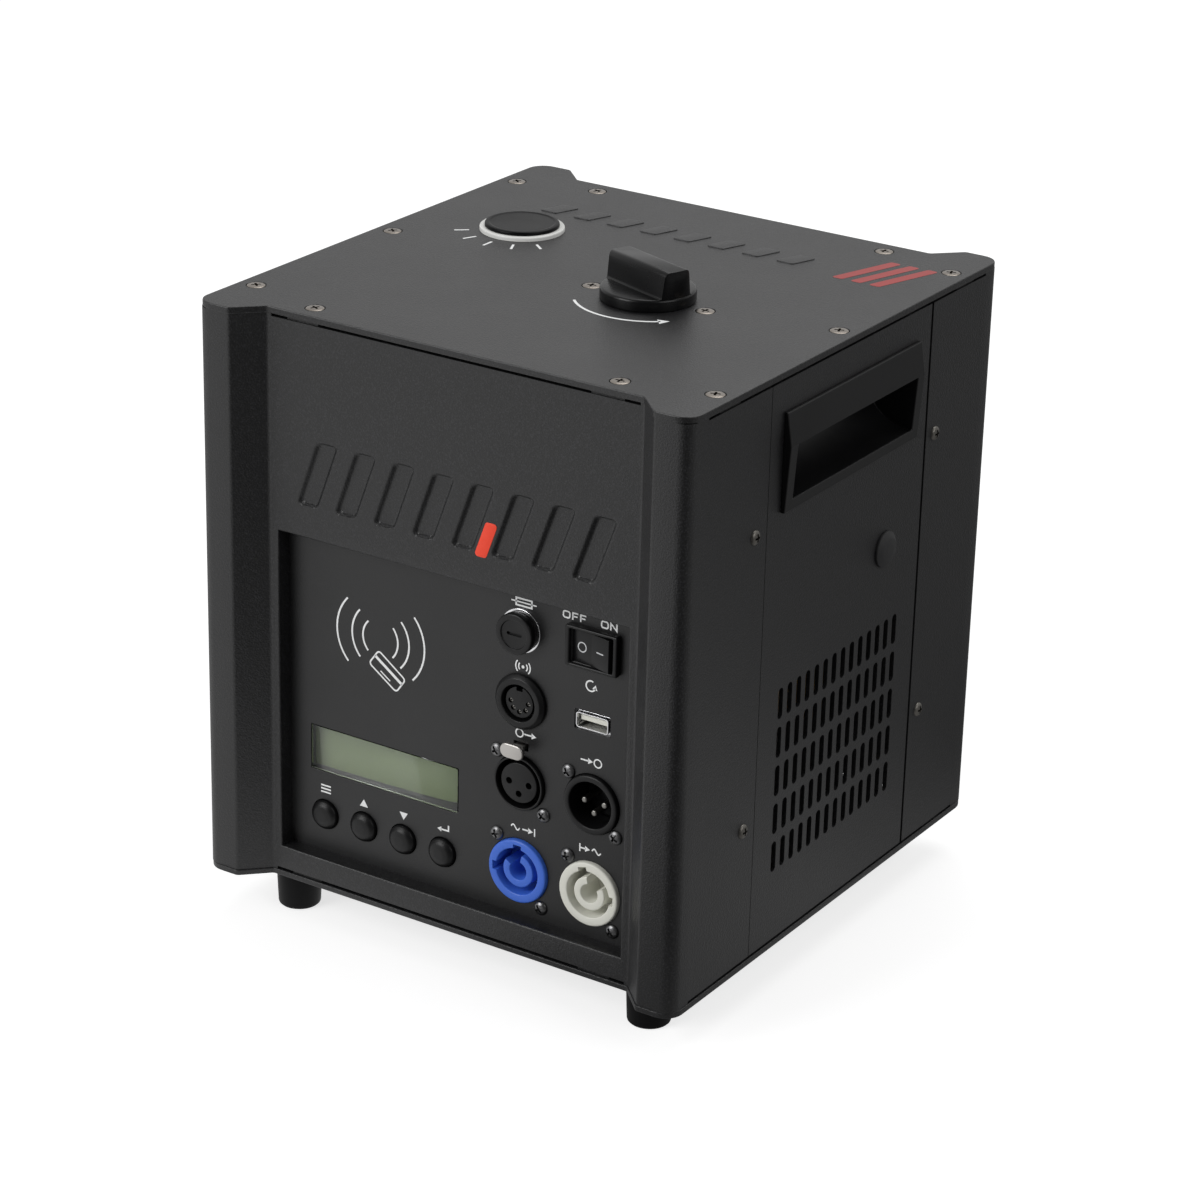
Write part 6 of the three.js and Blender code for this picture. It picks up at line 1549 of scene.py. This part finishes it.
board = board_finish("circuit_board")
posts = [
    turned(
        [
            (0, PANEL_BACK), (POST_RADIUS, PANEL_BACK), (POST_RADIUS, BOARD_DEEP[0] + 0.1),
            (0, BOARD_DEEP[0] + 0.1)
        ],
        "y",
        centre_of(
            (
                CELL[0] + a * (DISPLAY_BOARD[0] / 2 - POST_INSET),
                CELL[1] + b * (DISPLAY_BOARD[1] / 2 - POST_INSET)
            )
        ),
        24
    ) for a in (-1, 1) for b in (-1, 1)
]
piece(
    "display_board_sheet",
    [panel_plate(box_outline(*CELL[:2], *DISPLAY_BOARD), [], *BOARD_DEEP, 0), *posts], board,
    instead=["display_module"]
)
inside = {
    "control_board": board, "card_reader_board": board, "driver_board": board, "fuse_link": fuse_glass,
    "filler_neck": tube_steel, "hopper": tube_steel, "spark_tube": tube_steel, "ceramic_sleeve": ceramic,
    "feed_housing": cast_grey, "feed_auger": tube_steel, "auger_gear": brass, "motor_pinion": brass,
    "feed_motor": tube_steel, "motor_bracket": satin_steel, "blower_housing": moulded_black,
    "fan_frame": moulded_black, "power_supply": satin_steel
}
for name, material in inside.items():
    cad_nodes[name].data.materials.clear()
    cad_nodes[name].data.materials.append(material)

# The fan's rotor and the blower's impeller turn on their pins in round bores.
ROTOR_BORE = 2.35
for name, body, axis, centre in (
    ("fan_rotor", "fan", "x", (-90.0, 0.0, 83.5)),
    ("blower_impeller", "impeller", "y", (-31.4, 30.4, 57.5))
):
    made = linked(name + "_moulding", cad_nodes[name].data.copy())
    face_out(made.data)
    along = "xyz".index(axis)
    across = [i for i in range(3) if i != along]
    places = [vertex.co / MM for vertex in made.data.vertices]
    reach = [p[along] for p in places if math.hypot(*(p[i] - centre[i] for i in across)) < ROTOR_BORE]
    low, high = min(reach) - 0.1, max(reach) + 0.1
    on_axis = [0 if i == along else c for i, c in enumerate(centre)]
    bore = turned([(0, low), (ROTOR_BORE, low), (ROTOR_BORE, high), (0, high)], axis, on_axis, 24)
    worked(made, ("DIFFERENCE", [bore]))
    dressed(made, moulded_black, body, [name], 25)

winding, taken, given = geometry_tree(
    "wound_tube",
    [
        ("Turns", "Float"), ("Coil Radius", "Float"), ("Coil Height", "Float"), ("Tube Radius", "Float"),
        ("Place", "Vector"), ("Material", "Material")
    ]
)
helix = add(
    winding, "GeometryNodeCurveSpiral",
    [
        ("Resolution", 48), ("Rotations", taken["Turns"]), ("Start Radius", taken["Coil Radius"]),
        ("End Radius", taken["Coil Radius"]), ("Height", taken["Coil Height"])
    ]
)
section = add(
    winding, "GeometryNodeCurvePrimitiveCircle", [("Resolution", 14), ("Radius", taken["Tube Radius"])]
)
wound = add(
    winding, "GeometryNodeCurveToMesh",
    [("Curve", helix), ("Profile Curve", section), ("Fill Caps", True)]
)
ended(winding, given, taken["Material"], moved_to(winding, wound, Translation=taken["Place"]))
coil = grown(
    "induction_coil_tube", winding,
    {
        "Turns": float(COIL_TURNS), "Coil Radius": COIL_RADIUS * MM,
        "Coil Height": COIL_TURNS * COIL_PITCH * MM, "Tube Radius": COIL_TUBE * MM,
        "Place": (OUTLET[0] * MM, OUTLET[1] * MM, COIL_BOTTOM * MM), "Material": copper
    }
)
dressed(coil, copper, "machine", ["induction_coil"], 60)

# Studio
# A pale floor and backdrop, soft lamps around the machine, and the camera of the photograph. The floor
# looks evenly pale to the camera and keeps the machine's shadow. To reflections it glows with painted
# light: bright to the front left, the left and the back left, dim to the front right and the back right,
# and brighter close to the machine.
CAMERA_PLACE = (668.24, -1042.90, 634.05)
CAMERA_AZIMUTH = 32.646
CAMERA_ELEVATION = 22.827
CAMERA_ROLL = 1.449
CAMERA_LENS = 110.163


def background_mask(tree, glossy):
    """How white the background is: 1 to the camera and through glass, and glossy in reflections."""
    path = add(tree, "ShaderNodeLightPath")
    seen = calc(tree, "MAXIMUM", path.outputs["Is Camera Ray"], path.outputs["Is Transmission Ray"])
    shown = calc(tree, "MULTIPLY", path.outputs["Is Glossy Ray"], glossy)
    both = calc(tree, "MAXIMUM", seen, shown)
    return both, path.outputs["Is Glossy Ray"]


def eased_range(tree, value, start, end, low, high):
    """A value from low to high, smooth between start and end."""
    links = [("Value", value), ("From Min", start), ("From Max", end), ("To Min", low), ("To Max", high)]
    return add(tree, "ShaderNodeMapRange", links, interpolation_type="SMOOTHSTEP")


floor_mesh = bpy.data.meshes.new("floor")
floor_mesh.from_pydata([(-6, -6, 0), (6, -6, 0), (6, 6, 0), (-6, 6, 0)], [], [(0, 1, 2, 3)])
floor = linked("floor", floor_mesh)
pale = bpy.data.materials.new("pale_floor")
pale.use_nodes = True
tree = pale.node_tree
shader = tree.nodes["Principled BSDF"]
shader.inputs["Base Color"].default_value = (0.5, 0.5, 0.5, 1)
shader.inputs["Roughness"].default_value = 0.9
shader.inputs["Specular IOR Level"].default_value = 0.0
# Painted reflection: glossy rays see the floor glow by a ramp around the machine, brighter near it, in
# place of real light and shade on the floor.
place = add(tree, "ShaderNodeTexCoord").outputs["Object"]
axes = add(tree, "ShaderNodeSeparateXYZ", [(0, place)])
round_it = calc(tree, "ARCTAN2", axes.outputs[1], axes)
turn_share = calc(tree, "MULTIPLY_ADD", round_it, 1 / (2 * math.pi), 0.5)
painted_reflection_by_turn = add(tree, "ShaderNodeValToRGB", [(0, turn_share)])
PAINTED_FLOOR_REFLECTION = [(-180, 0.6), (-150, 1.0), (-105, 1.0), (-80, 0.4), (-62, 0.08), (-42, 0.08), (-8, 0.4)]
PAINTED_FLOOR_REFLECTION += [(25, 0.45), (45, 0.2), (55, 0.14), (75, 0.3), (100, 0.7), (180, 0.6)]
ramp = painted_reflection_by_turn.color_ramp.elements
while len(ramp) < len(PAINTED_FLOOR_REFLECTION):
    ramp.new(0.5)
for stop, (degrees, painted_share) in zip(ramp, PAINTED_FLOOR_REFLECTION):
    stop.position = degrees / 360 + 0.5
    stop.color = (painted_share, painted_share, painted_share, 1)
away = add(tree, "ShaderNodeVectorMath", [(0, place)], operation="LENGTH")
close = eased_range(tree, away.outputs["Value"], 0.14, 0.3, 0.36, 0.0)
level = calc(tree, "MAXIMUM", painted_reflection_by_turn, close)
mask, is_glossy = background_mask(tree, level)
glow = calc(tree, "MULTIPLY", mask, 0.72)
shader.inputs["Emission Color"].default_value = (1, 1, 1, 1)
feed(tree, shader.inputs["Emission Strength"], glow)
# Glossy rays see only this painted reflection, not the lit floor.
painted_reflection = add(tree, "ShaderNodeEmission", [("Strength", level)])
floor_mix = add(tree, "ShaderNodeMixShader", [(0, is_glossy), (1, shader), (2, painted_reflection)])
feed(tree, tree.nodes["Material Output"].inputs["Surface"], floor_mix)
floor_mesh.materials.append(pale)

world = bpy.data.worlds.new("studio")
bpy.context.scene.world = world
world.use_nodes = True
tree = world.node_tree
tree.nodes.clear()
ray = add(tree, "ShaderNodeTexCoord")
towards_back = add(
    tree, "ShaderNodeVectorMath", [(0, ray.outputs["Generated"]), (1, (-0.5, 0.8, 0.33))],
    operation="DOT_PRODUCT"
)
mask, _ = background_mask(tree, eased_range(tree, towards_back.outputs["Value"], -0.3, 0.6, 0.12, 0.75))
white = add(tree, "ShaderNodeBackground", [("Color", (1, 1, 1, 1))])
ambient = add(tree, "ShaderNodeBackground", [("Color", (1, 1, 1, 1)), ("Strength", 0.3)])
path = add(tree, "ShaderNodeLightPath")
diffuse = calc(tree, "MAXIMUM", path.outputs["Is Diffuse Ray"], path.outputs["Is Shadow Ray"])
feed(tree, white.inputs["Strength"], mask)
mixed = add(tree, "ShaderNodeMixShader", [(0, diffuse), (1, white), (2, ambient)])
out = add(tree, "ShaderNodeOutputWorld", [("Surface", mixed)])


def lamp(name, place, size, power, target=(0, 0, 0.12)):
    """A soft rectangular lamp aimed at the machine."""
    light = bpy.data.lights.new(name, "AREA")
    light.shape = "RECTANGLE"
    light.size, light.size_y = size
    light.energy = power
    made = linked(name, light)
    made.location = place
    made.rotation_mode = "QUATERNION"
    made.rotation_quaternion = (Vector(target) - Vector(place)).to_track_quat("-Z", "Y")
    return made


lamp("key", (-0.9, -1.7, 1.1), (1.2, 1.2), 26)
lamp("fill", (1.7, -0.2, 1.2), (1.2, 1.2), 10)
lamp("top", (0.0, 0.9, 1.9), (1.6, 1.0), 14)

camera_data = bpy.data.cameras.new("camera")
camera_data.lens = CAMERA_LENS
camera_data.sensor_width = 36.0
camera_data.clip_start = 0.05
camera_data.clip_end = 50.0
camera = linked("camera", camera_data)
turn, rise, roll = (math.radians(a) for a in (CAMERA_AZIMUTH, CAMERA_ELEVATION, CAMERA_ROLL))
ahead = Vector((-math.sin(turn) * math.cos(rise), math.cos(turn) * math.cos(rise), -math.sin(rise)))
right = Vector((math.cos(turn), math.sin(turn), 0))
above = right.cross(ahead)
axis_x = right * math.cos(roll) + above * math.sin(roll)
axis_y = above * math.cos(roll) - right * math.sin(roll)
camera.matrix_world = Matrix.Translation(
    [c * MM for c in CAMERA_PLACE]
) @ Matrix((axis_x, axis_y, -ahead)).transposed().to_4x4()
bpy.context.scene.camera = camera
bpy.context.scene.view_settings.view_transform = "Standard"
